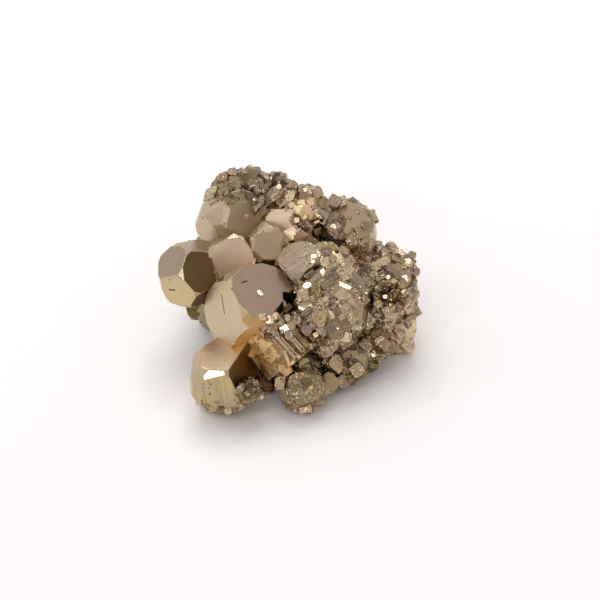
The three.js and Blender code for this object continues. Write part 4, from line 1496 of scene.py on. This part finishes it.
crust = {"gap": 0.3, "thickness": 0.7, "rough": 0.06, "rim": 0.05, "lip": 0.7, "places": 900,
         "sizes": (0.15, 0.5), "tones": (0.2, 1.5), "warmth": (0.5, 0.2), "lines": 0.2, "seed": 31}


def makeBowl(settings):
    bowl = addBall()
    editAll(bowl)
    bpy.ops.mesh.bisect(plane_co=(0, 0, settings["rim"]), plane_no=(0, 0, 1), clear_outer=True)
    endEdit()
    roughen(bowl, settings["rough"])
    place(bowl, pitMatrix(settings["gap"]))
    applyModifier(bowl, "SOLIDIFY", {"thickness": settings["thickness"], "offset": -1})
    markFaces(bowl, Matrix.Identity(3), {"finish": "shadow"}, settings["seed"])
    return bowl


def crustGrains(settings):
    draw = random.Random(settings["seed"])
    inset = settings["gap"] + settings["thickness"]
    axis = direction(*pit["axis"])
    found = []
    for way in evenDirections(settings["places"], draw.random):
        size = draw.uniform(*settings["sizes"])
        at = pitMatrix(inset) @ way
        turn = leaning(180, draw.uniform)
        finish = (draw.uniform(*settings["tones"]), draw.gauss(*settings["warmth"]),
                  settings["lines"], 0.0)
        if (at - Vector(pit["mouth"])).dot(axis) <= settings["lip"] - size / 2:
            shape = grainShapes[draw.randrange(len(grainShapes))]
            found.append(addGrain(shape, at, turn, (size, size, size), finish))
    return found


finishPiece(joinAll([makeBowl(crust)] + crustGrains(crust), "vug_crust_crystals"), darkPyrite,
            "vug_crust")
print("pit lined")


# What was only needed while modelling goes

for spare in [*blanks.values(), *grainShapes, *(cutter for cutter, middle, reach in cutters)]:
    bpy.data.objects.remove(spare)


# Floor, world and lights

floorLook = {"radius": 3.0, "colour": (0.94, 0.935, 0.94), "roughness": 0.6}
worldLook = {"bright": (0.82, 0.78, 0.78), "dark": (0.38, 0.325, 0.29), "toward": (-115, 35),
             "strength": 1.0}
glint = {"distance": 0.6, "size": 0.05, "power": 0.12, "glossy": True}
lights = {  # only the overhead one isn't seen in the metal
    "overhead": {"toward": (-172, 64), "distance": 0.65, "size": 0.45, "power": 1.5,
                 "glossy": False},
    "front_left_glint": {**glint, "toward": (-41, 36), "power": 0.15},
    "front_glint": {**glint, "toward": (-15, 60)},
    "left_glint": {**glint, "toward": (-103, 43)},
    "back_glint": {**glint, "toward": (166, 56)},
    "right_glint": {**glint, "toward": (42, 9), "size": 0.04},
    "back_right_glint": {**glint, "toward": (143, 16)},
}


def makeFloor(look):
    deselectAll()
    bpy.ops.mesh.primitive_circle_add(vertices=64, radius=look["radius"], fill_type="NGON")
    floor = bpy.context.object
    floor.name = "floor"
    material = bpy.data.materials.new("white_paper")
    material.use_nodes = True
    tree = material.node_tree
    tree.nodes.clear()
    start = Wire(tree)
    surface = start.node("BsdfPrincipled", None, {
        "Base Color": (*look["colour"], 1), "Roughness": look["roughness"],
        "Specular IOR Level": 0.0})
    start.node("OutputMaterial", None, {"Surface": surface})
    floor.data.materials.append(material)


def makeWorld(look):
    world = bpy.data.worlds.new("studio")
    bpy.context.scene.world = world
    world.use_nodes = True
    tree = world.node_tree
    tree.nodes.clear()
    start = Wire(tree)
    way = start.node("TexCoord", output="Generated")
    facing = start.node("VectorMath", {"operation": "DOT_PRODUCT"},
                        {0: way, 1: direction(*look["toward"])}, output="Value")
    colour = start.node("Mix", {"data_type": "RGBA"}, {
        0: facing.rise(-1, 1), 6: (*look["dark"], 1), 7: (*look["bright"], 1)}, output=2)
    glow = start.node("Background", None, {"Color": colour, "Strength": look["strength"]})
    start.node("OutputWorld", None, {"Surface": glow})


def makeLight(name, look):
    data = bpy.data.lights.new(name, "AREA")
    data.shape = "DISK"
    data.size = look["size"]
    data.energy = look["power"]
    light = bpy.data.objects.new(name, data)
    bpy.context.scene.collection.objects.link(light)
    way = direction(*look["toward"])
    light.location = way * look["distance"]
    light.rotation_euler = way.to_track_quat("Z", "Y").to_euler()
    light.visible_glossy = look["glossy"]
    light.visible_camera = False


makeFloor(floorLook)
makeWorld(worldLook)
for name, look in lights.items():
    makeLight(name, look)
print("studio lit")
